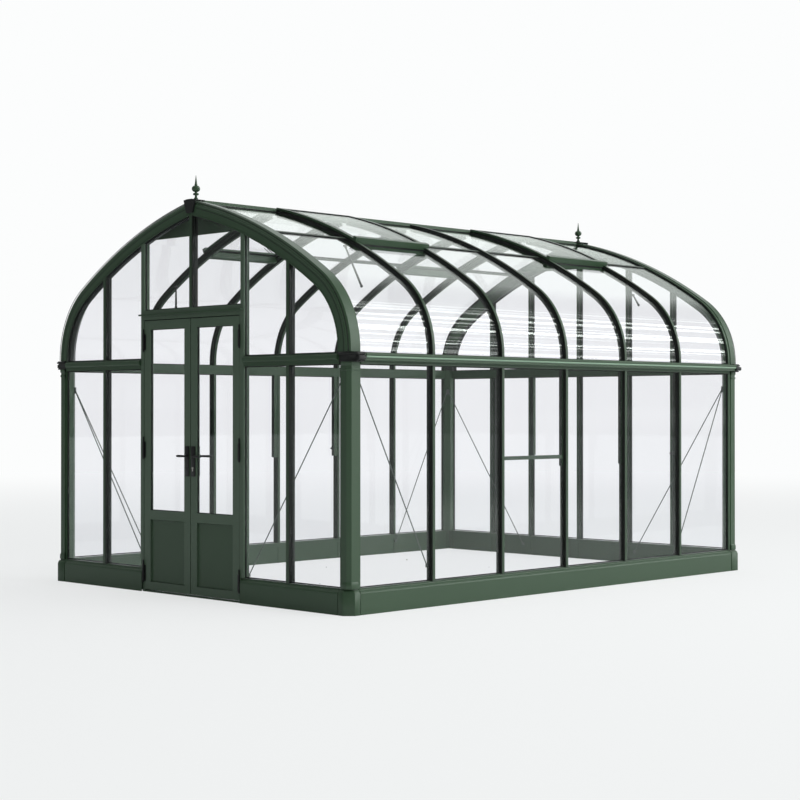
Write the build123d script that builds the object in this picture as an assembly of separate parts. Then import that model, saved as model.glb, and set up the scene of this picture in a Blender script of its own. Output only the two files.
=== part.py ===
"""Curved-eaves glass greenhouse with double doors, in millimetres.

+Z is up, the doors face -Y, and the origin is at the middle of the footprint on the ground.
Every member sits on one "skin": the middle plane of the glass, which rises straight up the walls,
turns through a tight eaves arc and runs on a wide arc to the ridge.
In a section, u is the distance outwards from the skin and v is the distance along the wall.
"""
import os
from math import asin, atan2, cos, degrees, hypot, radians, sin

from build123d import *

os.makedirs("parts", exist_ok=True)

# ---- driving dimensions -------------------------------------------------------------------
BAY = 735.0                # spacing of the glazing bars along the sides
BAYS = 6
HALF_WIDTH = 1693.0        # outer face of the plinth across the gable, from the middle
POST_LINE = 97.0           # from the last bar line to the outer face of the plinth
HALF_LENGTH = BAYS * BAY / 2 + POST_LINE
PLINTH_HEIGHT = 177.0
PLINTH_DEPTH = 72.0
PLINTH_WALL = 4.0
SKIN_INSET = 33.0          # from the plinth's outer face to the middle of the glass
EAVES = 1752.0             # top of the eaves beam and of the gable transom
BEAM_HEIGHT = 74.0
ROOF_SPRING = 1770.0       # height where the roof starts to curve
EAVES_RADIUS = 640.0
EAVES_TURN = 56.0          # degrees turned by the eaves arc
RIDGE_SKIN = 2888.0        # height at which the two skins meet over the middle

GLASS = 4.0
GLASS_PLAY = 0.4           # clearance each side of a pane in its slot
GLASS_BITE = 10.0          # how far a pane reaches into a slot
BUTT = 0.3                 # clearance between members that meet end to end

BAR_CAP = 34.0             # glazing bar: width of the outer cap
BAR_WEB = 10.0
BAR_STEM = 16.0
BAR_OUT = 22.0             # outer face of a bar, from the skin
BAR_IN = 38.0              # inner face of a bar, from the skin
GABLE_BAR_CAP = 40.0
GABLE_BAR_X = 1068.0       # middle of the outer gable bars
JAMB_X = 582.0             # middle of the door jambs
BACK_BARS = (-GABLE_BAR_X, -JAMB_X, 0.0, JAMB_X - 20, GABLE_BAR_X - 22)

POST_ACROSS = 94.0         # corner post: width on the gable
POST_ALONG = 112.0         # corner post: width on the long side
POST_CHAMFER = 24.0
POST_INNER = 38.0          # chamfer that carries the brace brackets
POST_OUT = 21.0            # outer face of the posts, from the skin
GABLE_STRIP = (19.0, 12.0)  # width and depth of the recessed strip beside the gable glass
SIDE_STRIP = (27.0, 6.0)   # the same beside the side glass

CAP_LAP = 4.0              # how far an eaves corner cap laps onto the transom
CAP_END = 2190.0           # where the caps meet the gutters
CAP_WIDE = 60.0            # how far the caps stand out over the gutters
CAP_DEEP = 22.0            # and in front of the transoms
ARCH_IN = 88.0             # how far the gable arches reach inside the skin
ARCH_INNER = 50.0          # chamfer on the inner back edge of the arches
ARCH_GROOVE = 3.0          # shadow line near the inner edge of the arches
KEYSTONE_HEIGHT = 96.0
KEYSTONE_RISE = 6.0
PLATE_EDGE = 26.0          # edge of the apex plates, inside the skin

DOOR_HEAD = 2046.0         # underside of the door head
HEAD_HEIGHT = 74.0
DRIP_HALF = 600.0
DRIP_REACH = 24.0
DOOR_GAP = 5.0             # running clearance round the leaves
MEETING_GAP = 8.0
SILL_HEIGHT = 12.0
LEAF_THICK = 45.0
LEAF_INSET = 13.0          # from the plinth's outer face to the leaf's outer face
STILE = 76.0               # on the hinge side
MEETING_STILE = 70.0
TOP_RAIL = 66.0
MID_RAIL_TOP = 616.0
MID_RAIL = 70.0
BOTTOM_RAIL = 60.0
PANEL_INSET = 12.0
GLASS_REVEAL = 10.0        # from a leaf's outer face to its glass
GLASS_LIP = 3.0
GLASS_RELIEF = 24.0        # the stiles are cut back this far behind the glass lip
HINGE_RADIUS = 8.0
HINGE_HEIGHT = 120.0
HINGE_PLAY = 0.8           # clearance round a knuckle in its pocket
HINGE_LEVELS = (140.0, 1070.0, 1880.0)
HANDLE_LEVEL = 1030.0
LEVER_LENGTH = 100.0
LEVER_REACH = 24.0         # from a lock plate to the outer face of the grip
PLATE_THICK = 8.0          # lock plates

VENT_FEET = (1180.0, 1245.0)  # lower edges of the right and left vents, measured up the skin
VENT_BAYS = (1, 4)
VENT_RAIL = 36.0
VENT_THICK = 15.0
VENT_DRIP = 33.0           # height of the foot rail, which overhangs like a sill
KERB_IN = 30.0             # inner face of the kerbs, from the skin
JOINTS = (1290.0, 1355.0)  # joints between the lower and upper panes, right and left
JOINT_BAR = (14.0, 8.0)    # width and half depth of the bars in those joints
WINDOW_FOOT = 945.0        # lower end of the strips that guide the side windows
WINDOW_LINES = (2, 3)      # bar lines with a strip on their front flank
STRIP_WIDTHS = (16.0, 44.0)  # on the right and on the left side
STRIP_DEPTH = 32.0
WINDOW_RAIL = (1001.0, 1029.0)
BRACE_RADIUS = 4.0
BACK_BRACE_END = 655.0     # how far from the middle the back gable's rods end
FINIAL_HEIGHT = 178.0

# ---- derived places -----------------------------------------------------------------------
SKIN_X = HALF_WIDTH - SKIN_INSET
SKIN_Y = HALF_LENGTH - SKIN_INSET
BAR_LINES = [(i - BAYS / 2) * BAY for i in range(1, BAYS)]
POST_X = SKIN_X + POST_OUT - POST_ACROSS   # where gable members meet the posts
POST_Y = SKIN_Y + POST_OUT - POST_ALONG    # where side members meet the posts
BEAM_FOOT = EAVES - BEAM_HEIGHT
# bracket height, then how far along its wall and how high the gable and the side rod end
BRACES = {(1, -1): (1685.0, (JAMB_X, 195.0), (BAR_LINES[-1], 280.0)),
          (-1, -1): (1525.0, (JAMB_X, 140.0), (BAR_LINES[-1], 210.0)),
          (1, 1): (1545.0, (BACK_BRACE_END, 100.0), (BAR_LINES[-1], 115.0)),
          (-1, 1): (1545.0, (BACK_BRACE_END, 100.0), (BAR_LINES[-1], 115.0))}
SLOT = GLASS + 2 * GLASS_PLAY
HEAD_TOP = DOOR_HEAD + HEAD_HEIGHT
JAMB_IN = JAMB_X - GABLE_BAR_CAP / 2
PLINTH_END = JAMB_X - 7                    # where the front plinth stops beside the door
ARCH_FRONT = SKIN_Y + POST_OUT             # outer face of the gable arches
ARCH_BACK = POST_Y
LEAF_FROM = MEETING_GAP / 2
LEAF_TO = JAMB_IN - DOOR_GAP
LEAF_FACE = -(HALF_LENGTH - LEAF_INSET)
LEAF_BACK = LEAF_FACE + LEAF_THICK
LEAF_FOOT = SILL_HEIGHT + 6.0
LEAF_TOP = DOOR_HEAD - 6.0
HINGE_X = JAMB_IN - DOOR_GAP / 2
HINGE_Y = LEAF_FACE - HINGE_RADIUS

# ---- the roof line ------------------------------------------------------------------------
TURN = radians(EAVES_TURN)
ARC_1_LENGTH = EAVES_RADIUS * TURN
KNEE_X = SKIN_X - EAVES_RADIUS * (1 - cos(TURN))
KNEE_Z = ROOF_SPRING + EAVES_RADIUS * sin(TURN)
CHORD = hypot(KNEE_X, RIDGE_SKIN - KNEE_Z)
CHORD_TILT = atan2(RIDGE_SKIN - KNEE_Z, KNEE_X)
KNEE_TILT = radians(90) - TURN
CROWN_RADIUS = CHORD / (2 * sin(KNEE_TILT - CHORD_TILT))
CROWN_X = KNEE_X - CROWN_RADIUS * sin(KNEE_TILT)
CROWN_Z = KNEE_Z - CROWN_RADIUS * cos(KNEE_TILT)


def skin_point(s, u=0.0):
    """Point at s along the right-hand roof skin from the spring line, u outside it, as (x, z)."""
    if s <= 0:
        return SKIN_X + u, ROOF_SPRING + s
    if s <= ARC_1_LENGTH:
        turn = s / EAVES_RADIUS
        x = SKIN_X - EAVES_RADIUS + (EAVES_RADIUS + u) * cos(turn)
        return x, ROOF_SPRING + (EAVES_RADIUS + u) * sin(turn)
    tilt = KNEE_TILT - (s - ARC_1_LENGTH) / CROWN_RADIUS
    return CROWN_X + (CROWN_RADIUS + u) * sin(tilt), CROWN_Z + (CROWN_RADIUS + u) * cos(tilt)


def ridge_station(x, u=0.0):
    """The station s at which the line u outside the skin is x from the middle plane."""
    return ARC_1_LENGTH + (KNEE_TILT - asin((x - CROWN_X) / (CROWN_RADIUS + u))) * CROWN_RADIUS


def skin_edges(u, s_from, s_to, y):
    """Edges that follow the skin at offset u between two stations, in the plane at y."""
    low, high = min(s_from, s_to), max(s_from, s_to)
    stations = [low] + [s for s in (0.0, ARC_1_LENGTH) if low < s < high] + [high]
    if s_from > s_to:
        stations.reverse()
    edges = []
    for a, b in zip(stations, stations[1:]):
        ends = [Vector(x, y, z) for x, z in (skin_point(a, u), skin_point((a + b) / 2, u), skin_point(b, u))]
        straight = max(a, b) <= 0
        edges.append(Line(ends[0], ends[2]) if straight else ThreePointArc(*ends))
    return edges


def point_3d(s, u, y):
    x, z = skin_point(s, u)
    return Vector(x, y, z)


def roof_sheet(u_in, u_out, s_from, s_to, y_from, y_to):
    """A curved sheet or strip of the right-hand roof between two offsets from the skin."""
    edges = skin_edges(u_out, s_from, s_to, y_from)
    edges.append(Line(point_3d(s_to, u_out, y_from), point_3d(s_to, u_in, y_from)))
    edges += skin_edges(u_in, s_to, s_from, y_from)
    edges.append(Line(point_3d(s_from, u_in, y_from), point_3d(s_from, u_out, y_from)))
    return extrude(Face(Wire(edges)), amount=y_to - y_from, dir=(0, 1, 0))


def sweep_on_roof(section, s_from, s_to, y):
    """Sweep a section, drawn as u along X and v along Y, up the right-hand roof line at y."""
    path = Wire(skin_edges(0.0, s_from, s_to, y))
    x, z = skin_point(s_from)
    return sweep(Plane((x, y, z)) * section, path=path)


def under_roof(u, y_from, y_to, floor):
    """Everything between the floor level and the roof line at offset u, both sides, as one solid."""
    top = ridge_station(0.0, u)
    right = skin_edges(u, floor - ROOF_SPRING, top, y_from)
    left = [edge.mirror(Plane.YZ) for edge in right]
    x, _ = skin_point(0.0, u)
    base = Line((-x, y_from, floor), (x, y_from, floor))
    return extrude(Face(Wire([base] + right + left)), amount=y_to - y_from, dir=(0, 1, 0))


# ---- helpers ------------------------------------------------------------------------------
def block(x_from, x_to, y_from, y_to, z_from, z_to):
    """A plain box from its limits, given in any order."""
    size = (abs(x_to - x_from), abs(y_to - y_from), abs(z_to - z_from))
    middle = ((x_from + x_to) / 2, (y_from + y_to) / 2, (z_from + z_to) / 2)
    return Pos(*middle) * Box(*size)


def solids_of(shapes):
    return [solid for shape in shapes for solid in shape.solids()]


def other_side(shapes):
    return [solid.mirror(Plane.YZ) for solid in solids_of(shapes)]


def other_end(shapes):
    return [solid.mirror(Plane.XZ) for solid in solids_of(shapes)]


def both_sides(shapes):
    return solids_of(shapes) + other_side(shapes)


def both_ends(shapes):
    return solids_of(shapes) + other_end(shapes)


def four_corners(shapes):
    """A front right-hand piece and its three mirror images."""
    return both_sides(both_ends(shapes))


def keep(node, shapes):
    solids = solids_of(shapes)
    export_step(Compound(children=solids), f"parts/{node}.step")


def outline(points):
    return make_face(Polyline(*points, close=True))


def mirrored_profile(half):
    """A closed section from the points of its v >= 0 half, listed from outside to inside."""
    return outline(half + [(u, -v) for u, v in reversed(half) if v > 0])


# ---- sections -----------------------------------------------------------------------------
def bar_section(cap):
    """T-shaped glazing bar: outer cap, web between the panes, seat flange, stem and inner bulb."""
    slot = SLOT / 2
    flange = cap / 2 - 4
    bulb = BAR_STEM / 2 + 4
    return mirrored_profile([
        (BAR_OUT, 0.0), (BAR_OUT, cap / 2 - 5), (BAR_OUT - 5, cap / 2), (slot, cap / 2),
        (slot, BAR_WEB / 2), (-slot, BAR_WEB / 2), (-slot, flange), (-slot - 5, flange),
        (-slot - 9, BAR_STEM / 2), (-BAR_IN + 8, BAR_STEM / 2), (-BAR_IN + 4, bulb), (-BAR_IN, bulb),
        (-BAR_IN, 0.0)])


def arch_section():
    """Gable arch, v along the building: flat front face, moulded outer edge, chamfered inside."""
    face, groove = ARCH_FRONT, ARCH_GROOVE
    width, depth = SIDE_STRIP
    body = outline([
        (-ARCH_IN, face), (10 - ARCH_IN, face), (10 - ARCH_IN, face - groove), (14 - ARCH_IN, face - groove),
        (14 - ARCH_IN, face), (-15, face), (-11, face - 4), (3, face - 6), (13, face - 11), (17, face - 16),
        (POST_OUT, face - 19), (POST_OUT, ARCH_BACK + width), (POST_OUT - depth, ARCH_BACK + width),
        (POST_OUT - depth, ARCH_BACK), (ARCH_INNER - ARCH_IN, ARCH_BACK), (-ARCH_IN, ARCH_BACK + ARCH_INNER)])
    bite = 2 * (GLASS_BITE + 2)
    body -= Pos(0.0, ARCH_BACK) * Rectangle(SLOT, bite)
    body -= Pos(-ARCH_IN, SKIN_Y) * Rectangle(bite, SLOT)
    return body


def post_section():
    """Corner post seen from above, for the corner at +X +Y, in real coordinates."""
    x_out, y_out = SKIN_X + POST_OUT, SKIN_Y + POST_OUT
    x_in, y_in = POST_X, POST_Y
    across, sunk_y = GABLE_STRIP
    along, sunk_x = SIDE_STRIP
    body = outline([
        (x_in, y_out - sunk_y), (x_in + across, y_out - sunk_y), (x_in + across, y_out),
        (x_out - POST_CHAMFER, y_out), (x_out, y_out - POST_CHAMFER), (x_out, y_in + along),
        (x_out - sunk_x, y_in + along), (x_out - sunk_x, y_in), (x_in + POST_INNER, y_in),
        (x_in, y_in + POST_INNER)])
    bite = 2 * (GLASS_BITE + 2)
    body -= Pos(x_in, SKIN_Y) * Rectangle(bite, SLOT)
    body -= Pos(SKIN_X, y_in) * Rectangle(SLOT, bite)
    return body


def plinth_section():
    """Plinth profile, w outwards from the inner face and h up: a moulded, open-bottomed casing."""
    out = PLINTH_DEPTH
    h = PLINTH_HEIGHT
    shell = outline([
        (0, 0), (PLINTH_WALL, 0), (PLINTH_WALL, h - 16), (out - 28, h - 16), (out - 28, h - 24),
        (out - 8, h - 32), (out - PLINTH_WALL, h - 40), (out - PLINTH_WALL, 0), (out, 0), (out, h - 34),
        (out - 4, h - 26), (out - 4, h - 20), (out - 12, h - 12), (out - 14, h - 8), (out - 22, h - 8),
        (out - 22, h), (0, h), (0, h - 22), (-6, h - 22), (-6, h - 30), (0, h - 30)])
    groove = Pos(out - SKIN_INSET, h) * Rectangle(SLOT, 2 * (GLASS_BITE - 2))
    return shell - groove


def gutter_section():
    """Open trough with two beads on its outer face, u outwards from the skin and h up."""
    foot, top = EAVES - 54, EAVES
    back = BAR_OUT + 2
    lip = back + 66
    trough = outline([
        (back, foot + 4), (back + 18, foot), (lip - 22, foot), (lip - 16, foot + 6), (lip - 16, foot + 18),
        (lip - 10, foot + 28), (lip - 2, foot + 36), (lip, foot + 42), (lip, top), (lip - 5, top),
        (lip - 5, foot + 44), (lip - 14, foot + 34), (lip - 21, foot + 20), (lip - 24, foot + 5),
        (back + 20, foot + 5), (back + 4, foot + 9), (back + 4, top), (back, top)])
    return trough


# ---- plinth -------------------------------------------------------------------------------
CORNER_PIECE = 110.0
PLINTH_CHAMFER = 75.0


def plinth_run(length):
    """A straight run of plinth along +Y from the origin, its inner face at x = 0."""
    return extrude(Plane.XZ * plinth_section(), amount=-length)


def build_plinth():
    inner_x = HALF_WIDTH - PLINTH_DEPTH
    inner_y = HALF_LENGTH - PLINTH_DEPTH
    side = 2 * (HALF_LENGTH - CORNER_PIECE) - 2 * BUTT
    right = Pos(inner_x, -side / 2, 0) * plinth_run(side)
    keep("plinth_sides", both_sides([right]))
    across = 2 * (HALF_WIDTH - CORNER_PIECE) - 2 * BUTT
    back = Pos(across / 2, inner_y, 0) * Rot(0, 0, 90) * plinth_run(across)
    keep("plinth_back", [back])
    front_end = HALF_WIDTH - CORNER_PIECE - BUTT
    short = front_end - PLINTH_END
    front = Pos(PLINTH_END, -inner_y, 0) * Rot(0, 0, -90) * plinth_run(short)
    keep("plinth_front", both_sides([front]))
    # the corner pieces follow a chamfered path
    start = (HALF_WIDTH - CORNER_PIECE, inner_y)
    cut = PLINTH_CHAMFER - PLINTH_DEPTH * 0.586
    path = Polyline(start + (0,), (inner_x - cut, inner_y, 0), (inner_x, inner_y - cut, 0),
                    (inner_x, HALF_LENGTH - CORNER_PIECE, 0))
    section = Plane(origin=start + (0,), x_dir=(0, 1, 0), z_dir=(1, 0, 0)) * plinth_section()
    corner = sweep(section, path=path, transition=Transition.RIGHT)
    keep("plinth_corners", four_corners(other_end([corner])))


CLEAT = (30.0, 6.0)        # width and thickness


def build_cleats():
    """The feet of the bars, on the inner face of the plinth under each bar."""
    width, thick = CLEAT
    x = HALF_WIDTH - PLINTH_DEPTH - BUTT
    top = PLINTH_HEIGHT - 30.0 - BUTT
    side = [block(x - thick, x, y - width / 2, y + width / 2, 0, top) for y in BAR_LINES]
    y = HALF_LENGTH - PLINTH_DEPTH - BUTT
    back = [block(g - width / 2, g + width / 2, y - thick, y, 0, top) for g in BACK_BARS]
    front_lines = (-GABLE_BAR_X, -JAMB_X, JAMB_X, GABLE_BAR_X)
    front = [block(g - width / 2, g + width / 2, -y, -y + thick, 0, top) for g in front_lines]
    keep("plinth_cleats", side + other_side(side) + back + front)


# ---- posts, bars and beams ----------------------------------------------------------------
def build_posts():
    post = extrude(Pos(0, 0, PLINTH_HEIGHT + BUTT) * post_section(), amount=EAVES + 6 - PLINTH_HEIGHT - 2 * BUTT)
    keep("corner_posts", four_corners([post]))


def build_side_bars():
    foot = PLINTH_HEIGHT + BUTT
    height = BEAM_FOOT - BUTT - foot
    bars = []
    for y in BAR_LINES:
        bars.append(extrude(Pos(SKIN_X, y, foot) * bar_section(BAR_CAP), amount=height))
    keep("side_bars", both_sides(bars))


def gable_bar(x, z_from, z_to, roof):
    """An upright gable bar of the back wall, trimmed to the inside of the arch."""
    section = Pos(x, SKIN_Y, z_from) * Rot(0, 0, 90) * bar_section(GABLE_BAR_CAP)
    bar = extrude(section, amount=z_to - z_from)
    return bar & roof if z_to > RIDGE_SKIN else bar


def jamb(x, z_from, z_to, roof):
    """A door jamb: a bar with a flat face towards the door and pockets for the hinge knuckles."""
    bar = gable_bar(x, z_from, z_to, roof)
    inner = x - GABLE_BAR_CAP / 2 if x > 0 else x + GABLE_BAR_CAP / 2
    fill_top = HEAD_TOP - GLASS_BITE - 3
    body = bar + block(inner, x, SKIN_Y - BAR_IN, SKIN_Y + BAR_OUT, z_from, fill_top)
    side = 1 if x > 0 else -1
    body += block(inner, side * (PLINTH_END - BUTT), SKIN_Y - BAR_IN, SKIN_Y + BAR_OUT, 0, z_from)
    reach = HINGE_RADIUS + HINGE_PLAY
    for level in HINGE_LEVELS:
        height = HINGE_HEIGHT + 2 * HINGE_PLAY
        body -= Pos(side * HINGE_X, -HINGE_Y, level) * Cylinder(reach, height)
        body -= block(side * (HINGE_X - 20), side * (HINGE_X + reach), -HINGE_Y, SKIN_Y + BAR_OUT + 5,
                      level - height / 2, level + height / 2)
    return body


def build_gable_bars():
    roof = under_roof(-ARCH_IN - BUTT, SKIN_Y - 80, SKIN_Y + 80, 0.0)
    high = RIDGE_SKIN + 100
    foot = PLINTH_HEIGHT + BUTT
    under, over = BEAM_FOOT - BUTT, EAVES + BUTT
    outer = []
    for x in (-GABLE_BAR_X, GABLE_BAR_X):
        outer += [gable_bar(x, foot, under, roof), gable_bar(x, over, high, roof)]
    centre = gable_bar(0.0, HEAD_TOP + BUTT, high, roof)
    keep("gable_bars_front", other_end(outer + [centre]))
    jambs = [jamb(x, foot, high, roof) for x in (-JAMB_X, JAMB_X)]
    keep("door_jambs", other_end(jambs))
    back = []
    for x in BACK_BARS:
        back += [gable_bar(x, foot, under, roof), gable_bar(x, over, high, roof)]
    keep("gable_bars_back", back)


def beam_section():
    """Eaves beam or transom, u outwards and h up, with glass slots above and below."""
    height = BEAM_HEIGHT
    body = Pos((BAR_OUT - BAR_IN) / 2, BEAM_FOOT + height / 2) * Rectangle(BAR_OUT + BAR_IN, height)
    for z in (BEAM_FOOT, EAVES):
        body -= Pos(0, z) * Rectangle(SLOT, 2 * (GLASS_BITE + 2))
    for z in (BEAM_FOOT + 20, EAVES - 20):
        body -= Pos(-BAR_IN, z) * Rectangle(8, 6)
    return body


def run_on_gable(section, x_from, x_to):
    """Extrude a section, drawn as u outwards and h up, along the back gable."""
    place = Plane((x_from, SKIN_Y, 0), x_dir=(0, 1, 0), z_dir=(1, 0, 0))
    return extrude(place * section, amount=x_to - x_from)


def build_beams():
    length = 2 * (POST_Y - BUTT)
    beam = extrude(Plane((SKIN_X, length / 2, 0), x_dir=(1, 0, 0), z_dir=(0, -1, 0)) * beam_section(), amount=length)
    keep("eaves_beams", both_sides([beam]))
    band = outline([(BAR_OUT, EAVES - 48), (BAR_OUT + 12, EAVES - 44), (BAR_OUT + 16, EAVES - 38),
                    (BAR_OUT + 16, EAVES - 14), (BAR_OUT + 10, EAVES - 8), (BAR_OUT, EAVES - 8)])
    front_from = JAMB_X + GABLE_BAR_CAP / 2 + BUTT
    beam_to = POST_X - BUTT
    band_to = POST_X - CAP_LAP - 4 - BUTT
    front = run_on_gable(beam_section(), front_from, beam_to) + run_on_gable(band, front_from, band_to)
    keep("transoms_front", both_sides(other_end([front])))
    back = run_on_gable(beam_section(), -beam_to, beam_to) + run_on_gable(band, -band_to, band_to)
    keep("transom_back", [back])


def build_gutters():
    length = 2 * (CAP_END - BUTT)
    place = Plane((SKIN_X, length / 2, 0), x_dir=(1, 0, 0), z_dir=(0, -1, 0))
    gutter = extrude(place * gutter_section(), amount=length)
    keep("gutters", both_sides([gutter]))
    # moulded corner caps that join the gutter ends to the gable transoms
    clear = 1.5
    x_face, y_face = SKIN_X + POST_OUT + clear, SKIN_Y + POST_OUT + clear

    def cap(reach, corner, z_from, z_to):
        """One layer of a cap, its outer faces moved out by reach and its corner cut by corner."""
        x_out, y_out = SKIN_X + BAR_OUT + CAP_WIDE + reach, SKIN_Y + BAR_OUT + CAP_DEEP + reach
        x_in = POST_X - CAP_LAP - reach / 2
        layer = outline([
            (x_in, y_face), (x_face - POST_CHAMFER, y_face), (x_face, y_face - POST_CHAMFER),
            (x_face, CAP_END), (x_out, CAP_END), (x_out, y_out - corner),
            (x_out - corner * 0.3, y_out - corner * 0.3),
            (x_out - corner, y_out), (x_in, y_out)])
        return extrude(Pos(0, 0, z_from) * layer, amount=z_to - z_from)

    foot, top = EAVES - 60, EAVES + 6
    body = cap(-12, 82, foot, foot + 6) + cap(-5, 88, foot + 6, foot + 14) + cap(0, 92, foot + 14, foot + 28)
    body += cap(8, 98, foot + 28, top - 12) + cap(2, 92, top - 12, top - 6) + cap(-10, 84, top - 6, top)
    keep("eaves_corner_caps", four_corners(other_end([body])))


# ---- roof ---------------------------------------------------------------------------------
RIDGE_HALF = 34.0
RIDGE_DROP = 24.0          # underside of the ridge, below the point where the skins meet


def build_arches():
    foot = EAVES + 6 - ROOF_SPRING
    top = ridge_station(0.0, POST_OUT) + 60
    arch = sweep_on_roof(arch_section(), foot, top, 0.0)
    side = block(BUTT / 2, SKIN_X + 200, -3 * HALF_LENGTH, 3 * HALF_LENGTH, 0, 2 * RIDGE_SKIN)
    arch = arch & side
    keep("gable_arch_back", both_sides([arch]))
    keep("gable_arch_front", both_sides(other_end([arch])))


def build_roof_bars():
    foot = EAVES + BUTT - ROOF_SPRING
    top = ridge_station(0.0, BAR_OUT)
    clear = block(RIDGE_HALF + BUTT, HALF_WIDTH, -HALF_LENGTH, HALF_LENGTH, 0, 2 * RIDGE_SKIN)
    bars = [sweep_on_roof(bar_section(BAR_CAP), foot, top, y) & clear for y in BAR_LINES]
    keep("roof_bars", both_sides(bars))


def build_ridge():
    z = RIDGE_SKIN
    section = outline([
        (-RIDGE_HALF, z - RIDGE_DROP), (RIDGE_HALF, z - RIDGE_DROP), (RIDGE_HALF, z + 6), (RIDGE_HALF - 8, z + 16),
        (14, z + 20), (8, z + 28), (-8, z + 28), (-14, z + 20), (-RIDGE_HALF + 8, z + 16), (-RIDGE_HALF, z + 6)])
    length = 2 * (ARCH_BACK - BUTT)
    ridge = extrude(Plane((0, length / 2, 0), x_dir=(1, 0, 0), z_dir=(0, -1, 0)) * section, amount=length)
    keep("ridge_beam", [ridge])
    # keystone over the mitre of each gable arch
    arch_top = skin_point(ridge_station(0.0, POST_OUT), POST_OUT)[1]
    crown = arch_top + KEYSTONE_RISE
    key = outline([(-36, arch_top - KEYSTONE_HEIGHT), (36, arch_top - KEYSTONE_HEIGHT), (66, arch_top),
                   (28, crown), (-28, crown), (-66, arch_top)])
    place = Plane((0, ARCH_FRONT + BUTT, 0), x_dir=(1, 0, 0), z_dir=(0, -1, 0))
    front = extrude(place * key, amount=-14)
    top = block(-28, 28, ARCH_BACK, ARCH_FRONT + BUTT + 1, arch_top + 1.5, crown)
    keystone = front + top
    keep("apex_keystones", both_ends([keystone]))
    base = crown + BUTT
    profile = [(0, 0), (16, 0), (16, 10), (10, 16), (8, 30), (20, 34), (22, 40), (20, 46), (10, 50), (9, 56)]
    body = Polyline(*profile)
    ball = ThreePointArc((9, 56), (31, 80), (9, 104))
    spire = Polyline((9, 104), (12, 108), (9, 114), (1.5, FINIAL_HEIGHT), (0, FINIAL_HEIGHT), (0, 0))
    shape = make_face([*body.edges(), ball, *spire.edges()])
    finial = revolve(Plane.XZ * shape, axis=Axis.Z)
    y = ARCH_FRONT - 50
    keep("finials", [Pos(0, y, base) * finial, Pos(0, -y, base) * finial])


def build_apex_plates():
    low = 2662.0
    plate = under_roof(-PLATE_EDGE, ARCH_BACK - BUTT - 4, ARCH_BACK - BUTT, 0.0)
    plate &= block(-HALF_WIDTH, HALF_WIDTH, 0, 2 * HALF_LENGTH, low, 2 * RIDGE_SKIN)
    below_ridge = block(-RIDGE_HALF - 1, RIDGE_HALF + 1, 0, 2 * HALF_LENGTH,
                        RIDGE_SKIN - RIDGE_DROP - BUTT, 2 * RIDGE_SKIN)
    plate = plate - below_ridge
    keep("apex_plates", both_ends([plate]))


# ---- glass --------------------------------------------------------------------------------
def bay_spans():
    """The glass edges of each bay along the sides: into the bar slots and the end slots."""
    play = BAR_WEB / 2 + 0.5
    ends = [-(ARCH_BACK + GLASS_BITE)] + BAR_LINES + [ARCH_BACK + GLASS_BITE]
    spans = []
    for i, (a, b) in enumerate(zip(ends, ends[1:])):
        spans.append((a + (play if i > 0 else 0), b - (play if i < BAYS - 1 else 0)))
    return spans


def build_roof_glass():
    """Lower and upper panes; in a vent bay the lower pane ends in the kerb."""
    half = GLASS / 2
    foot = EAVES - GLASS_BITE - ROOF_SPRING
    top = ridge_station(RIDGE_HALF + 0.5, -half)
    width, depth = JOINT_BAR
    flank = BAR_CAP / 2 + BUTT
    lower, upper, bars = [], [], []
    for side, (joint, vent) in enumerate(zip(JOINTS, VENT_FEET)):
        low, high, joints = [], [], []
        for i, (a, b) in enumerate(bay_spans()):
            if i in VENT_BAYS:
                low.append(roof_sheet(-half, half, foot, vent + VENT_RAIL / 2, a, b))
                continue
            low.append(roof_sheet(-half, half, foot, joint - 1, a, b))
            high.append(roof_sheet(-half, half, joint + 1, top, a, b))
            y = (i - BAYS / 2) * BAY
            a = y + flank if i > 0 else BUTT - ARCH_BACK
            b = y + BAY - flank if i < BAYS - 1 else ARCH_BACK - BUTT
            outer = roof_sheet(half + BUTT, depth, joint - width / 2, joint + width / 2, a, b)
            web = roof_sheet(-depth, depth, joint - 0.8, joint + 0.8, a, b)
            inner = roof_sheet(-depth, -half - BUTT, joint - width / 2, joint + width / 2, a, b)
            joints.append(outer + web + inner)
        turn = other_side if side else solids_of
        lower += turn(low)
        upper += turn(high)
        bars += turn(joints)
    keep("roof_glass_lower", lower)
    keep("roof_glass_upper", upper)
    keep("roof_joint_bars", bars)


def build_wall_glass():
    half = GLASS / 2
    low, high = PLINTH_HEIGHT - GLASS_BITE + 3, BEAM_FOOT + GLASS_BITE
    panes = []
    for a, b in bay_spans():
        panes.append(block(SKIN_X - half, SKIN_X + half, a, b, low, high))
    keep("wall_glass", both_sides(panes))


def gable_pane(x_from, x_to, z_from, z_to):
    half = GLASS / 2
    return block(x_from, x_to, SKIN_Y - half, SKIN_Y + half, z_from, z_to)


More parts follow.
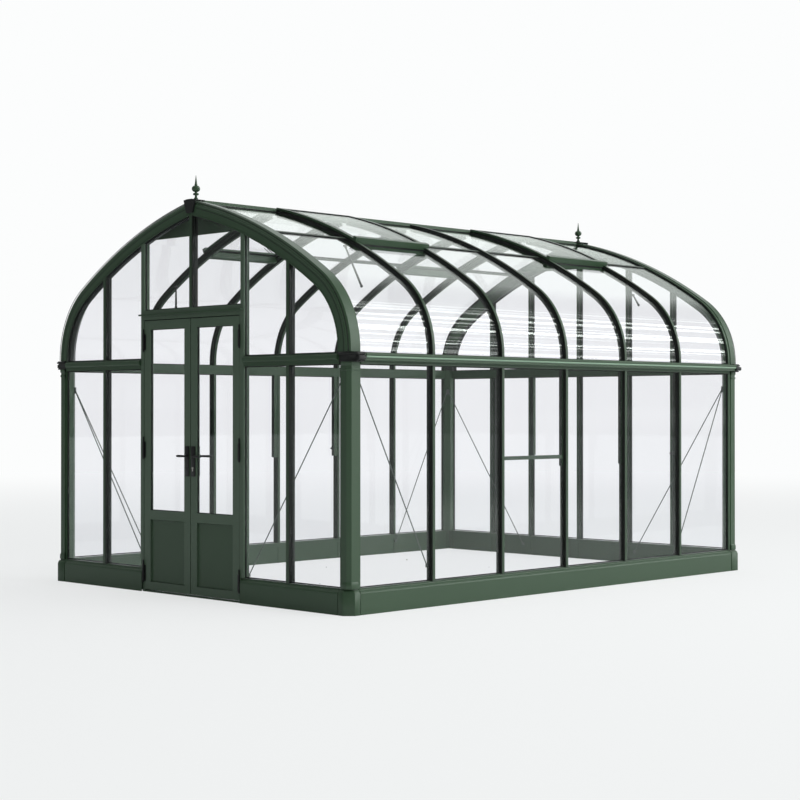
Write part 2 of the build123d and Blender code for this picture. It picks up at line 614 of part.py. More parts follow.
def build_gable_glass():
    roof = under_roof(-ARCH_IN + GLASS_BITE, SKIN_Y - 80, SKIN_Y + 80, 0.0)
    play = BAR_WEB / 2 + 0.5
    low, under = PLINTH_HEIGHT - GLASS_BITE + 3, BEAM_FOOT + GLASS_BITE
    over, high = EAVES - GLASS_BITE, RIDGE_SKIN + 100
    side_spans = [(JAMB_X + play, GABLE_BAR_X - play), (GABLE_BAR_X + play, POST_X + GLASS_BITE)]
    sides = []
    for a, b in side_spans:
        sides += [gable_pane(a, b, low, under), gable_pane(a, b, over, high) & roof]
    sides += other_side(sides)
    middle = [gable_pane(play, JAMB_X - play, HEAD_TOP - GLASS_BITE, high) & roof]
    keep("gable_glass_front", other_end(sides + middle + other_side(middle)))
    lines = [-POST_X - GLASS_BITE - play, *BACK_BARS, POST_X + GLASS_BITE + play]
    back = []
    for a, b in zip(lines, lines[1:]):
        back += [gable_pane(a + play, b - play, low, under), gable_pane(a + play, b - play, over, high) & roof]
    keep("gable_glass_back", back)


# ---- roof vents, side windows and braces --------------------------------------------------
def build_vents():
    """Top-hung roof vents: a frame over the bars, its glass and the kerb that its foot closes on."""
    low, high = BAR_OUT + 0.5, BAR_OUT + 0.5 + VENT_THICK
    top = ridge_station(RIDGE_HALF + 4, high)
    rail, bite = VENT_RAIL, GLASS_BITE
    slot = bite + 2
    middle = (low + high) / 2
    frames, panes, kerbs = [], [], []
    for side, foot in enumerate(VENT_FEET):
        turn = other_side if side else solids_of
        for i in VENT_BAYS:
            y_from, y_to = (i - BAYS / 2) * BAY, (i + 1 - BAYS / 2) * BAY
            a, b = y_from - BAR_CAP / 2, y_to + BAR_CAP / 2
            frame = roof_sheet(low, high, foot, top, a, b)
            frame -= roof_sheet(low, high, foot + rail, top - rail, a + rail, b - rail)
            frame += roof_sheet(low, low + VENT_DRIP, foot, foot + rail, a, b)
            frame -= roof_sheet(middle - SLOT / 2, middle + SLOT / 2, foot + rail - slot, top - rail + slot,
                                a + rail - slot, b - rail + slot)
            frames += turn([frame])
            panes += turn([roof_sheet(middle - GLASS / 2, middle + GLASS / 2, foot + rail - bite,
                                      top - rail + bite, a + rail - bite, b - rail + bite)])
            end = BAR_CAP / 2 + BUTT
            kerb = roof_sheet(-KERB_IN, BAR_OUT, foot + 4, foot + rail, y_from + end, y_to - end)
            kerb -= roof_sheet(-SLOT / 2, SLOT / 2, foot + 4, foot + rail / 2 + 2, y_from + end, y_to - end)
            kerbs += turn([kerb])
    keep("roof_vent_frames", frames)
    keep("roof_vent_kerbs", kerbs)
    keep("roof_vent_glass", panes)


def build_windows():
    """Guide strips of the frameless side windows, inside the glass, and the rail of the right one."""
    face = GLASS / 2 + BUTT
    top = BEAM_FOOT - BUTT
    side_flank = BAR_CAP / 2 - 4 + BUTT
    outer, inner = SKIN_X - face, SKIN_X - face - STRIP_DEPTH
    lines = [BAR_LINES[i] for i in WINDOW_LINES]
    right, left = STRIP_WIDTHS

    def strip(y, width):
        return block(inner, outer, y - side_flank - width, y - side_flank, WINDOW_FOOT, top)

    strips = [strip(y, right) for y in lines] + other_side([strip(y, left) for y in lines])
    back_flank = GABLE_BAR_CAP / 2 - 4 + BUTT
    strips.append(block(back_flank - JAMB_X, back_flank + left * 0.7 - JAMB_X, SKIN_Y - face - STRIP_DEPTH,
                        SKIN_Y - face, WINDOW_FOOT, top))
    rail_from = lines[0] - BAY + side_flank
    rail_to = lines[0] - side_flank - right - BUTT
    strips.append(block(outer - 14, outer, rail_from, rail_to, *WINDOW_RAIL))
    keep("window_strips", strips)


def rod(start, end):
    start, end = Vector(*start), Vector(*end)
    along = end - start
    return extrude(Plane(origin=start, z_dir=along) * Circle(BRACE_RADIUS), amount=along.length)


def build_braces():
    """Diagonal wind braces from a bracket on each corner post down to the foot of each wall."""
    inwards = Vector(-1, -1, 0).normalized()
    along = Vector(1, -1, 0).normalized()
    half, thick, tab = 15.0, 12.0, 12.0

    def inner_face(half_size, place, height):
        """Inner face at a foot: a bar, the cleat under it or, away from the bars, the plinth."""
        if height > PLINTH_HEIGHT + tab:
            return half_size - SKIN_INSET - BAR_IN - BUTT
        cleat = CLEAT[1] + BUTT if place in (JAMB_X, BAR_LINES[-1]) else 0.0
        return half_size - PLINTH_DEPTH - BUTT - cleat

    def bracket(side, top):
        middle = Vector(POST_X + POST_INNER / 2, POST_Y + POST_INNER / 2, top) + inwards * BUTT
        centre = middle + along * (side * (half + BUTT) / 2)
        plate = extrude(Plane(origin=centre, x_dir=along, z_dir=inwards) * Rectangle(half, 50), amount=thick)
        return plate, centre + inwards * (thick / 2)

    braces = []
    for (side, end), (top, (gable_x, gable_z), (side_y, side_z)) in BRACES.items():
        plate, start = bracket(-1, top)
        y = inner_face(HALF_LENGTH, gable_x, gable_z)
        gable = plate + rod(start, (gable_x, y - tab + 2, gable_z))
        gable += block(gable_x - tab, gable_x + tab, y - tab, y, gable_z - tab, gable_z + tab)
        plate, start = bracket(1, top)
        x = inner_face(HALF_WIDTH, side_y, side_z)
        along_side = plate + rod(start, (x - tab + 2, side_y, side_z))
        along_side += block(x - tab, x, side_y - tab, side_y + tab, side_z - tab, side_z + tab)
        pair = [gable, along_side]
        pair = pair if side > 0 else other_side(pair)
        braces += pair if end > 0 else other_end(pair)
    keep("wind_braces", braces)


# ---- doors --------------------------------------------------------------------------------
def build_doorway():
    half = JAMB_IN - BUTT
    y_out, y_in = -(SKIN_Y + BAR_OUT), -(SKIN_Y - BAR_IN)
    keep("door_sill", [block(-half, half, y_out, y_in, 0, SILL_HEIGHT)])
    head = block(-half, half, y_out, y_in, DOOR_HEAD, HEAD_TOP)
    head -= block(-half, half, -SKIN_Y - SLOT / 2, -SKIN_Y + SLOT / 2, HEAD_TOP - GLASS_BITE - 2, HEAD_TOP)
    keep("door_head", [head])
    y_lip = y_out - DRIP_REACH
    drip = block(-DRIP_HALF, DRIP_HALF, y_lip, y_out - BUTT, DOOR_HEAD + 38, DOOR_HEAD + 44)
    drip += block(-DRIP_HALF, DRIP_HALF, y_lip, y_lip + 6, DOOR_HEAD + 32, DOOR_HEAD + 44)
    keep("drip_cap", [drip])


def build_leaf(side):
    """One door leaf and its fittings; side is 1 for the right leaf and -1 for the left."""
    name = "right" if side > 0 else "left"
    frame = block(LEAF_FROM, LEAF_TO, LEAF_FACE, LEAF_BACK, LEAF_FOOT, LEAF_TOP)
    x_in, x_out = LEAF_FROM + MEETING_STILE, LEAF_TO - STILE
    frame -= block(x_in, x_out, LEAF_FACE, LEAF_BACK, MID_RAIL_TOP, LEAF_TOP - TOP_RAIL)
    panel_top = MID_RAIL_TOP - MID_RAIL
    panel_foot = LEAF_FOOT + BOTTOM_RAIL
    frame -= block(x_in, x_out, LEAF_FACE, LEAF_BACK, panel_foot, panel_top)
    # grooves that hold the glass and the panel
    glass_y = LEAF_FACE + GLASS_REVEAL + SLOT / 2
    bite = GLASS_BITE + 2
    frame -= block(x_in - GLASS_RELIEF, x_out + GLASS_RELIEF, glass_y + SLOT / 2 + GLASS_LIP, LEAF_BACK,
                   MID_RAIL_TOP, LEAF_TOP - TOP_RAIL)
    frame -= block(x_in - bite, x_out + bite, glass_y - SLOT / 2, glass_y + SLOT / 2,
                   MID_RAIL_TOP - bite, LEAF_TOP - TOP_RAIL + bite)
    panel_face = LEAF_FACE + PANEL_INSET
    panel_back = LEAF_BACK - PANEL_INSET
    play = GLASS_PLAY
    frame -= block(x_in - bite, x_out + bite, panel_face - play, panel_back + play, panel_foot - bite, panel_top + bite)
    pieces = {"frame": [frame]}
    pieces["glass"] = [block(x_in - GLASS_BITE, x_out + GLASS_BITE, glass_y - GLASS / 2, glass_y + GLASS / 2,
                             MID_RAIL_TOP - GLASS_BITE, LEAF_TOP - TOP_RAIL + GLASS_BITE)]
    pieces["panel"] = [block(x_in - GLASS_BITE, x_out + GLASS_BITE, panel_face, panel_back,
                             panel_foot - GLASS_BITE, panel_top + GLASS_BITE)]
    knuckles = []
    for level in HINGE_LEVELS:
        knuckle = Pos(HINGE_X, HINGE_Y, level) * Cylinder(HINGE_RADIUS, HINGE_HEIGHT)
        half = HINGE_HEIGHT / 2
        leaf_plate = block(HINGE_X - 22, HINGE_X - 3, LEAF_FACE - 3, LEAF_FACE - BUTT, level - half, level + half)
        knuckles.append(knuckle + leaf_plate)
    pieces["hinges"] = knuckles
    x_plate = (LEAF_FROM + 8, LEAF_FROM + 54)
    plate = block(*x_plate, LEAF_FACE - PLATE_THICK, LEAF_FACE - BUTT, 882, 1103)
    inner_plate = block(*x_plate, LEAF_BACK + BUTT, LEAF_BACK + PLATE_THICK, 882, 1103)
    pieces["lock_plates"] = [plate, inner_plate]
    for piece, shapes in pieces.items():
        keep(f"door_{name}_{piece}", shapes if side > 0 else other_side(shapes))


def build_lever(side):
    """Both grips of one lock, on a spindle each, outside and inside the leaf."""
    name = "right" if side > 0 else "left"
    x, z = LEAF_FROM + 31, HANDLE_LEVEL
    grips = []
    for face, out in ((LEAF_FACE, -1), (LEAF_BACK, 1)):
        start = face + out * (PLATE_THICK + 0.5)
        end = start + out * LEVER_REACH
        spindle = Pos(x, (start + end) / 2, z) * Rot(90, 0, 0) * Cylinder(9, LEVER_REACH)
        grips.append(spindle + block(x, x + LEVER_LENGTH, end - out * 12, end, z - 9, z + 9))
    keep(f"lever_{name}", grips if side > 0 else other_side(grips))


def main():
    build_plinth()
    build_cleats()
    build_posts()
    build_side_bars()
    build_gable_bars()
    build_beams()
    build_gutters()
    build_arches()
    build_roof_bars()
    build_ridge()
    build_apex_plates()
    build_roof_glass()
    build_wall_glass()
    build_gable_glass()
    build_vents()
    build_windows()
    build_braces()
    build_doorway()
    for side in (1, -1):
        build_leaf(side)
        build_lever(side)


main()
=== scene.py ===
# %% [markdown]
# # A curved-eaves glass greenhouse
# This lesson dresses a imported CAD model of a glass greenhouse: a dark green aluminium frame,
# clear panes, double doors and arched gables. The CAD model is a fixed frame that is never
# moved, so every piece made here goes where the CAD says.

# %% Load the frame
from math import asin, atan2, cos, degrees, hypot, pi, radians, sin

import bmesh
import bpy
from mathutils import Matrix, Vector


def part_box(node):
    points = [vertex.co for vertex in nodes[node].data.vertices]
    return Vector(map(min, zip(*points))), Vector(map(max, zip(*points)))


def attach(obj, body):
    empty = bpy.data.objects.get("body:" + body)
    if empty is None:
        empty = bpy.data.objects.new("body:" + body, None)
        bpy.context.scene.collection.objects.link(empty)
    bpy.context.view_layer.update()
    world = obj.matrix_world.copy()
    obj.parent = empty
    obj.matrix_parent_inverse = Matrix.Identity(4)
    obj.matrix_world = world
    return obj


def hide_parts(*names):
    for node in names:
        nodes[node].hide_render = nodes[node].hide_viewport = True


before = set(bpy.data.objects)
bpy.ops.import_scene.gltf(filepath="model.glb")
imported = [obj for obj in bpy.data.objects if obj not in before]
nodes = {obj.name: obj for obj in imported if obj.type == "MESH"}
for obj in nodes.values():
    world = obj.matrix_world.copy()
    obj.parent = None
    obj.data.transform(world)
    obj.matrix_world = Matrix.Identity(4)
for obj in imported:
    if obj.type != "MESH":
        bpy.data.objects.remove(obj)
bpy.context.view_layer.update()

# %% [markdown]
# ## The camera
# A greenhouse is seen here from eye height, a little off the corner, with a long lens, so
# that its uprights stay upright. A camera without tilt would need a shift; this one leans up by
# a third of a degree instead.

# %% Camera
scene = bpy.context.scene
camera_data = bpy.data.cameras.new("camera")
camera = bpy.data.objects.new("camera", camera_data)
scene.collection.objects.link(camera)
camera.location = (9.844, -10.087, 1.374)
camera.rotation_euler = (radians(90.313), 0, radians(44.594))
camera_data.lens = 76.53
camera_data.sensor_width = 36
camera_data.clip_end = 200
scene.camera = camera

# %% [markdown]
# ## Node helpers
# Materials and Geometry Nodes trees are both node trees, so one function adds a node to either.
# It takes the node's settings by name and links or sets its inputs.


# %% Node helper and colour
def add_node(tree, kind, settings=None, **inputs):
    """Add a node; an input given as a socket is linked, and anything else is set."""
    node = tree.nodes.new(kind)
    for name, value in (settings or {}).items():
        setattr(node, name, value)
    for name, value in inputs.items():
        key = int(name[1:]) if name[0] == "i" and name[1:].isdigit() else name.replace("_", " ")
        socket = node.inputs[key]
        if isinstance(value, bpy.types.NodeSocket):
            tree.links.new(value, socket)
        else:
            socket.default_value = value
    return node


def srgb(hex_value):
    """Linear colour, with alpha 1, of an sRGB hex string."""
    parts = [int(hex_value[i:i + 2], 16) / 255 for i in (1, 3, 5)]
    return tuple(p / 12.92 if p <= 0.04045 else ((p + 0.055) / 1.055) ** 2.4 for p in parts) + (1,)


def new_material(name):
    """An empty node material with its output."""
    material = bpy.data.materials.new(name)
    material.use_nodes = True
    tree = material.node_tree
    tree.nodes.clear()
    output = tree.nodes.new("ShaderNodeOutputMaterial")
    return material, tree, output


# %% [markdown]
# ## Floor, background and light
# The studio is white, but it isn't even: its bright walls stand to the right and behind, and the
# corner to the left of the doors is dim. A gradient over the sky gives that, so that the long side is
# bright, the gable keeps its depth, and painted edges catch a pale line. The camera itself, and
# rays that pass through glass, see a plain white room.

# %% World
scene.view_settings.view_transform = "Standard"
world = bpy.data.worlds.new("studio")
scene.world = world
world.use_nodes = True
sky = world.node_tree
sky.nodes.clear()
path = add_node(sky, "ShaderNodeLightPath")
seen = add_node(sky, "ShaderNodeMath", {"operation": "MAXIMUM"}, i0=path.outputs["Is Camera Ray"],
                i1=path.outputs["Is Transmission Ray"])
heading = add_node(sky, "ShaderNodeTexCoord")
toward = add_node(sky, "ShaderNodeVectorMath", {"operation": "DOT_PRODUCT"}, i0=heading.outputs["Generated"],
                  i1=(0.70, 0.66, 0.27))
bright = add_node(sky, "ShaderNodeMapRange", {"interpolation_type": "SMOOTHSTEP"},
                  Value=toward.outputs["Value"], From_Min=-0.75, From_Max=0.55, To_Min=0.10, To_Max=1.0)
# a bank of long strip lights, high behind the right-hand side, that only glossy surfaces mirror
along = add_node(sky, "ShaderNodeSeparateXYZ", Vector=heading.outputs["Generated"])
turn = add_node(sky, "ShaderNodeMath", {"operation": "ARCTAN2"}, i0=along.outputs["Z"], i1=along.outputs["X"])
spread = add_node(sky, "ShaderNodeMath", {"operation": "MULTIPLY"}, i0=turn.outputs[0], i1=14.0)
slow = add_node(sky, "ShaderNodeMath", {"operation": "MULTIPLY"}, i0=along.outputs["Y"], i1=2.6)
lines = add_node(sky, "ShaderNodeCombineXYZ", X=spread.outputs[0], Y=slow.outputs[0])
streaks = add_node(sky, "ShaderNodeTexNoise", {"noise_dimensions": "2D"}, Vector=lines.outputs[0],
                   Scale=1.0, Detail=3.0)
strips = add_node(sky, "ShaderNodeMapRange", Value=streaks.outputs["Fac"], From_Min=0.50, From_Max=0.68)
behind = add_node(sky, "ShaderNodeMapRange", {"interpolation_type": "SMOOTHSTEP"}, Value=along.outputs["Y"],
                  From_Min=0.35, From_Max=0.60)
rising = add_node(sky, "ShaderNodeMapRange", {"interpolation_type": "SMOOTHSTEP"}, Value=turn.outputs[0],
                  From_Min=-0.04, From_Max=0.26)
level = add_node(sky, "ShaderNodeMapRange", {"interpolation_type": "SMOOTHSTEP"}, Value=turn.outputs[0],
                 From_Min=0.85, From_Max=1.35, To_Min=1.0, To_Max=0.0)
power = 10.0
for part in (strips, behind, rising, level, path):
    factor = part.outputs["Is Glossy Ray"] if part is path else part.outputs[0]
    power = add_node(sky, "ShaderNodeMath", {"operation": "MULTIPLY"}, i0=factor, i1=power).outputs[0]
# what gloss mirrors: dim to the left of the doors, grey low behind, white high on the left
over = add_node(sky, "ShaderNodeMapRange", {"interpolation_type": "SMOOTHSTEP"}, Value=turn.outputs[0],
                From_Min=1.4, From_Max=2.15, To_Min=0.32, To_Max=1.15)
rear = add_node(sky, "ShaderNodeMapRange", {"interpolation_type": "SMOOTHSTEP"}, Value=along.outputs["Y"],
                From_Min=-0.4, From_Max=0.4, To_Min=0.12, To_Max=1.0)
mirrored = add_node(sky, "ShaderNodeMath", {"operation": "MULTIPLY"}, i0=over.outputs[0], i1=rear.outputs[0])
choice = add_node(sky, "ShaderNodeMix", {"data_type": "FLOAT"}, Factor=path.outputs["Is Glossy Ray"])
sky.links.new(bright.outputs[0], choice.inputs[2])
sky.links.new(mirrored.outputs[0], choice.inputs[3])
total = add_node(sky, "ShaderNodeMath", {"operation": "ADD"}, i0=choice.outputs[0], i1=power)
lit = add_node(sky, "ShaderNodeBackground", Color=(0.97, 0.99, 1.0, 1), Strength=total.outputs[0])
white = add_node(sky, "ShaderNodeBackground", Color=srgb("#fcfdfd"), Strength=1.0)
mixed = add_node(sky, "ShaderNodeMixShader", i0=seen.outputs[0], i1=lit.outputs[0], i2=white.outputs[0])
add_node(sky, "ShaderNodeOutputWorld", Surface=mixed.outputs[0])


# %% Floor
def studio_floor():
    """A matt floor that fades into the white room; its own light share keeps the shadows soft."""
    mesh = bpy.data.meshes.new("floor")
    reach = 60.0
    mesh.from_pydata([(-reach, -reach, 0), (reach, -reach, 0), (reach, reach, 0), (-reach, reach, 0)],
                     [], [(0, 1, 2, 3)])
    floor = bpy.data.objects.new("floor", mesh)
    scene.collection.objects.link(floor)
    material, tree, output = new_material("studio_floor")
    place = add_node(tree, "ShaderNodeTexCoord")
    away = add_node(tree, "ShaderNodeVectorMath", {"operation": "LENGTH"}, i0=place.outputs["Object"])
    fade = add_node(tree, "ShaderNodeMapRange", {"interpolation_type": "SMOOTHSTEP"}, Value=away.outputs["Value"],
                    From_Min=5.0, From_Max=24.0, To_Min=0.67, To_Max=1.0)
    path = add_node(tree, "ShaderNodeLightPath")
    seen = add_node(tree, "ShaderNodeMath", {"operation": "MAXIMUM"}, i0=path.outputs["Is Camera Ray"],
                    i1=path.outputs["Is Transmission Ray"])
    share = add_node(tree, "ShaderNodeMath", {"operation": "MULTIPLY"}, i0=fade.outputs[0], i1=seen.outputs[0])
    matt = add_node(tree, "ShaderNodeBsdfDiffuse", Color=srgb("#d9dcdc"))
    glow = add_node(tree, "ShaderNodeEmission", Color=srgb("#fcfdfd"), Strength=1.0)
    mix = add_node(tree, "ShaderNodeMixShader", i0=share.outputs[0], i1=matt.outputs[0], i2=glow.outputs[0])
    tree.links.new(mix.outputs[0], output.inputs[0])
    mesh.materials.append(material)
    return floor


floor = studio_floor()


# %% Lamps
def soft_lamp(name, place, aim, size, watts, colour):
    data = bpy.data.lights.new(name, "AREA")
    data.shape = "RECTANGLE"
    data.size, data.size_y = size
    data.energy = watts
    data.color = colour
    lamp = bpy.data.objects.new(name, data)
    scene.collection.objects.link(lamp)
    lamp.location = place
    lamp.rotation_euler = (Vector(aim) - Vector(place)).to_track_quat("-Z", "Y").to_euler()
    lamp.visible_glossy = False      # the sky above has the strip lights that gloss mirrors
    return lamp


soft_lamp("key", (11, 4, 7), (0, 0, 1), (9, 6), 700, (1.0, 0.99, 0.97))
soft_lamp("top", (2, 1, 12), (0, 0, 0), (9, 9), 180, (1.0, 1.0, 1.0))

# %% [markdown]
# ## Powder-coated aluminium
# The frame is aluminium extrusion with a polyester powder coat in fir green. The coat flows out in
# the oven into a fine satin "orange peel": bumps a millimetre or two across that only show as
# a slightly broken highlight. It's a dielectric paint over metal, so it isn't metallic.


# %% Green powder coat
def powder_coat(name, hex_colour, roughness, painted_shade_axis=None, painted_shade_inside=False, peel_size=0.0035,
                peel_depth=0.00012):
    """Powder coat; sides that face along the given axis, or that look inwards or down, are mixed to near black as
    painted shade.
    """
    material, tree, output = new_material(name)
    place = add_node(tree, "ShaderNodeTexCoord")
    peel = add_node(tree, "ShaderNodeTexNoise", Vector=place.outputs["Object"], Scale=1 / peel_size,
                    Detail=2.0)
    batch = add_node(tree, "ShaderNodeTexNoise", Vector=place.outputs["Object"], Scale=1.3, Detail=3.0)
    dark = tuple(c * 0.9 for c in srgb(hex_colour)[:3]) + (1,)
    light = tuple(c * 1.1 for c in srgb(hex_colour)[:3]) + (1,)
    tone = add_node(tree, "ShaderNodeMix", {"data_type": "RGBA"}, Factor=batch.outputs["Fac"])
    tone.inputs[6].default_value, tone.inputs[7].default_value = dark, light
    colour = tone.outputs[2]
    # Painted shade: flanks along an axis, or faces that look inwards or down, fade to near black by their normal.
    if painted_shade_axis or painted_shade_inside:
        facing = add_node(tree, "ShaderNodeNewGeometry")
        way = add_node(tree, "ShaderNodeSeparateXYZ", Vector=facing.outputs["Normal"])
        if painted_shade_axis:
            amount = add_node(tree, "ShaderNodeMath", {"operation": "ABSOLUTE"}, i0=way.outputs[painted_shade_axis])
        else:
            where = add_node(tree, "ShaderNodeSeparateXYZ", Vector=place.outputs["Object"])
            half = add_node(tree, "ShaderNodeMath", {"operation": "SIGN"}, i0=where.outputs["X"])
            inwards = add_node(tree, "ShaderNodeMath", {"operation": "MULTIPLY"}, i0=way.outputs["X"],
                               i1=half.outputs[0])
            lowest = add_node(tree, "ShaderNodeMath", {"operation": "MINIMUM"}, i0=inwards.outputs[0],
                              i1=way.outputs["Z"])
            amount = add_node(tree, "ShaderNodeMath", {"operation": "MULTIPLY"}, i0=lowest.outputs[0], i1=-1.0)
        painted_shade_share = add_node(tree, "ShaderNodeMapRange", Value=amount.outputs[0], From_Min=0.60, From_Max=0.66)
        both = add_node(tree, "ShaderNodeMix", {"data_type": "RGBA"}, Factor=painted_shade_share.outputs[0])
        tree.links.new(colour, both.inputs[6])
        # 10180f is the near-black green of the painted shade.
        both.inputs[7].default_value = srgb("#10180f")
        colour = both.outputs[2]
    bump = add_node(tree, "ShaderNodeBump", Strength=0.35, Distance=peel_depth, Height=peel.outputs["Fac"])
    shader = add_node(tree, "ShaderNodeBsdfPrincipled", Base_Color=colour, Roughness=roughness,
                      Normal=bump.outputs[0])
    tree.links.new(shader.outputs[0], output.inputs[0])
    return material


green = powder_coat("fir_green_powder_coated_aluminium", "#344b35", 0.36)
# Paler green for the gutter beads: a painted highlight.
painted_highlight_green = powder_coat("fir_green_bead_with_painted_highlight", "#7c9781", 0.30)
# Door leaves: a lighter copy of the same fir green, painted light on the leaves.
painted_light_leaf_green = powder_coat("fir_green_powder_coated_door_leaf", "#4a5d4b", 0.38)
# Bars: a slightly darker copy of the fir green as painted shade, with their flanks painted near black as shade by
# facing.
gable_bar = powder_coat("fir_green_gable_bar_with_painted_shade_flanks", "#304531", 0.36, painted_shade_axis="X")
green_bar = powder_coat("fir_green_glazing_bar_with_painted_shade_flanks", "#304531", 0.36, painted_shade_axis="Y")
# Arches: faces that look into the house or down are painted near black, a painted shade in the inner reveal.
green_arch = powder_coat("fir_green_arch_with_painted_inner_shade", "#344b35", 0.36, painted_shade_inside=True)
black_plastic = powder_coat("black_moulded_nylon", "#141715", 0.5)
black_metal = powder_coat("black_powder_coated_steel", "#101211", 0.38)
steel = powder_coat("grey_coated_steel_rod", "#4f5753", 0.4)


# %% Float glass
def float_glass():
    material, tree, output = new_material("clear_float_glass")
    side = add_node(tree, "ShaderNodeNewGeometry")
    index = add_node(tree, "ShaderNodeMapRange", Value=side.outputs["Backfacing"], To_Min=1.5, To_Max=1 / 1.5)
    fresnel = add_node(tree, "ShaderNodeFresnel", IOR=index.outputs[0])
    through = add_node(tree, "ShaderNodeBsdfTransparent", Color=srgb("#fefeff"))
    gloss = add_node(tree, "ShaderNodeBsdfGlossy", Color=srgb("#f4faf3"), Roughness=0.02)
    share = add_node(tree, "ShaderNodeMath", {"operation": "MULTIPLY"}, i0=fresnel.outputs[0], i1=0.74)
    mix = add_node(tree, "ShaderNodeMixShader", i0=share.outputs[0], i1=through.outputs[0], i2=gloss.outputs[0])
    tree.links.new(mix.outputs[0], output.inputs[0])
    return material


glass = float_glass()

# %% Give the CAD nodes their finishes
slot_finish = {"green_aluminium": green, "glass": glass, "black_plastic": black_plastic,
               "black_metal": black_metal, "brace_steel": steel}
used = {}
for name, node in nodes.items():
    for slot in node.material_slots:
        wanted = slot.material.name.split(".")[0] if slot.material else ""
        used.setdefault(wanted, []).append(name)
        for key, finish in slot_finish.items():
            if wanted.startswith(key):
                slot.material = finish
bars = ("side_bars", "roof_bars", "roof_joint_bars", "window_strips")
leaves = ("door_left_frame", "door_right_frame", "door_head", "door_jambs")
arches = ("gable_arch_front", "gable_arch_back")
for names, finish in ((bars, green_bar), (leaves, painted_light_leaf_green), (arches, green_arch),
                      (("gable_bars_front", "gable_bars_back"), gable_bar)):
    for name in names:
        for slot in nodes[name].material_slots:
            slot.material = finish
print({key: len(value) for key, value in used.items()})

# %% [markdown]
# ## Helpers for the small pieces
# Every piece below is a mesh in the frame's own metres. One function finishes a mesh: it points
# the faces outwards, rounds the edges a little so that they catch light, and lets the piece ride
# on its body.


# %% Finish a piece
def plain_mesh(source):
    """The evaluated mesh of an object, with the modifiers taken off."""
    bpy.context.view_layer.update()
    mesh = bpy.data.meshes.new_from_object(source.evaluated_get(bpy.context.evaluated_depsgraph_get()))
    source.modifiers.clear()
    source.data = mesh
    return source


def finish_piece(name, bm, material, body="frame", bevel=0.0, smooth=40):
    bmesh.ops.remove_doubles(bm, verts=bm.verts, dist=1e-6)
    bmesh.ops.recalc_face_normals(bm, faces=bm.faces)
    mesh = bpy.data.meshes.new(name)
    bm.to_mesh(mesh)
    bm.free()
    mesh.materials.append(material)
    piece = bpy.data.objects.new(name, mesh)
    scene.collection.objects.link(piece)
    if bevel:
        rounding = piece.modifiers.new("rounding", "BEVEL")
        rounding.width, rounding.segments, rounding.angle_limit = bevel, 2, radians(30)
        rounding.limit_method, rounding.use_clamp_overlap = "ANGLE", True
        plain_mesh(piece)
    piece.data.shade_smooth()
    piece.data.set_sharp_from_angle(angle=radians(smooth))
    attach(piece, body)
    return piece


# %% Turned and swept shapes
def rings_to_skin(bm, rings, closed_ends=True):
    """Join rings of vertices into a skin, with a face over each end."""
    for near, far in zip(rings, rings[1:]):
        for i in range(len(near)):
            j = (i + 1) % len(near)
            bm.faces.new((near[i], near[j], far[j], far[i]))
    if closed_ends:
        bm.faces.new(rings[0][::-1])
        bm.faces.new(rings[-1])


def turned(bm, start, direction, profile, sides=16):
    """A turned body: profile lists (distance along the axis, radius), in metres."""
    start, axis = Vector(start), Vector(direction).normalized()
    across = axis.orthogonal().normalized()
    beside = axis.cross(across)
    rings = []
    for along, radius in profile:
        middle = start + axis * along
        rings.append([bm.verts.new(middle + (across * cos(2 * pi * i / sides) + beside * sin(2 * pi * i / sides))
                                   * max(radius, 1e-4)) for i in range(sides)])
    rings_to_skin(bm, rings)


def swept(bm, points, radii, up=(0, 0, 1), sides=16):
    """An oval bar along points; radii lists its half height and half thickness at each one."""
    points = [Vector(p) for p in points]
    rings = []
    for i, point in enumerate(points):
        ahead = (points[min(i + 1, len(points) - 1)] - points[max(i - 1, 0)]).normalized()
        side = ahead.cross(Vector(up)).normalized()
        top = side.cross(ahead).normalized()
        high, thick = radii[i]
        rings.append([bm.verts.new(point + top * high * sin(2 * pi * k / sides)
                                   + side * thick * cos(2 * pi * k / sides)) for k in range(sides)])
    rings_to_skin(bm, rings)


def slab(bm, low, high):
    """A block between two corners, to be rounded by the finish."""
    made = bmesh.ops.create_cube(bm, size=1.0)
    for vert in made["verts"]:
        vert.co = [low[k] + (vert.co[k] + 0.5) * (high[k] - low[k]) for k in range(3)]


def corner_band(bm, corner, levels, chamfer, arms, depth, square_inside):
    """A band round one corner of the plan: levels lists (distance inside the corner's faces, height)."""
    (x_out, y_out), (side_x, side_y) = corner[:2], corner[2:]
    rings = []
    for inside, height in levels:
        cut = chamfer + 0.414 * inside
        plan = [(arms[0], inside), (cut, inside), (inside, cut), (inside, arms[1]), (depth, arms[1])]
        cut_inside = chamfer + 0.414 * depth
        plan += [(depth, depth)] if square_inside else [(depth, cut_inside), (cut_inside, depth)]
        plan += [(arms[0], depth)]
        rings.append([bm.verts.new(((x_out - px) * side_x, (y_out - py) * side_y, height)) for px, py in plan])
    rings_to_skin(bm, rings)


# %% [markdown]
# ## Plinth corners
# The plinth is a folded and moulded casing. Each corner is a separate casting, a few millimetres
# proud of the runs, with an open joint beside it that reads as a dark line. The near corner is
# cut back further than the others, where the path meets it.

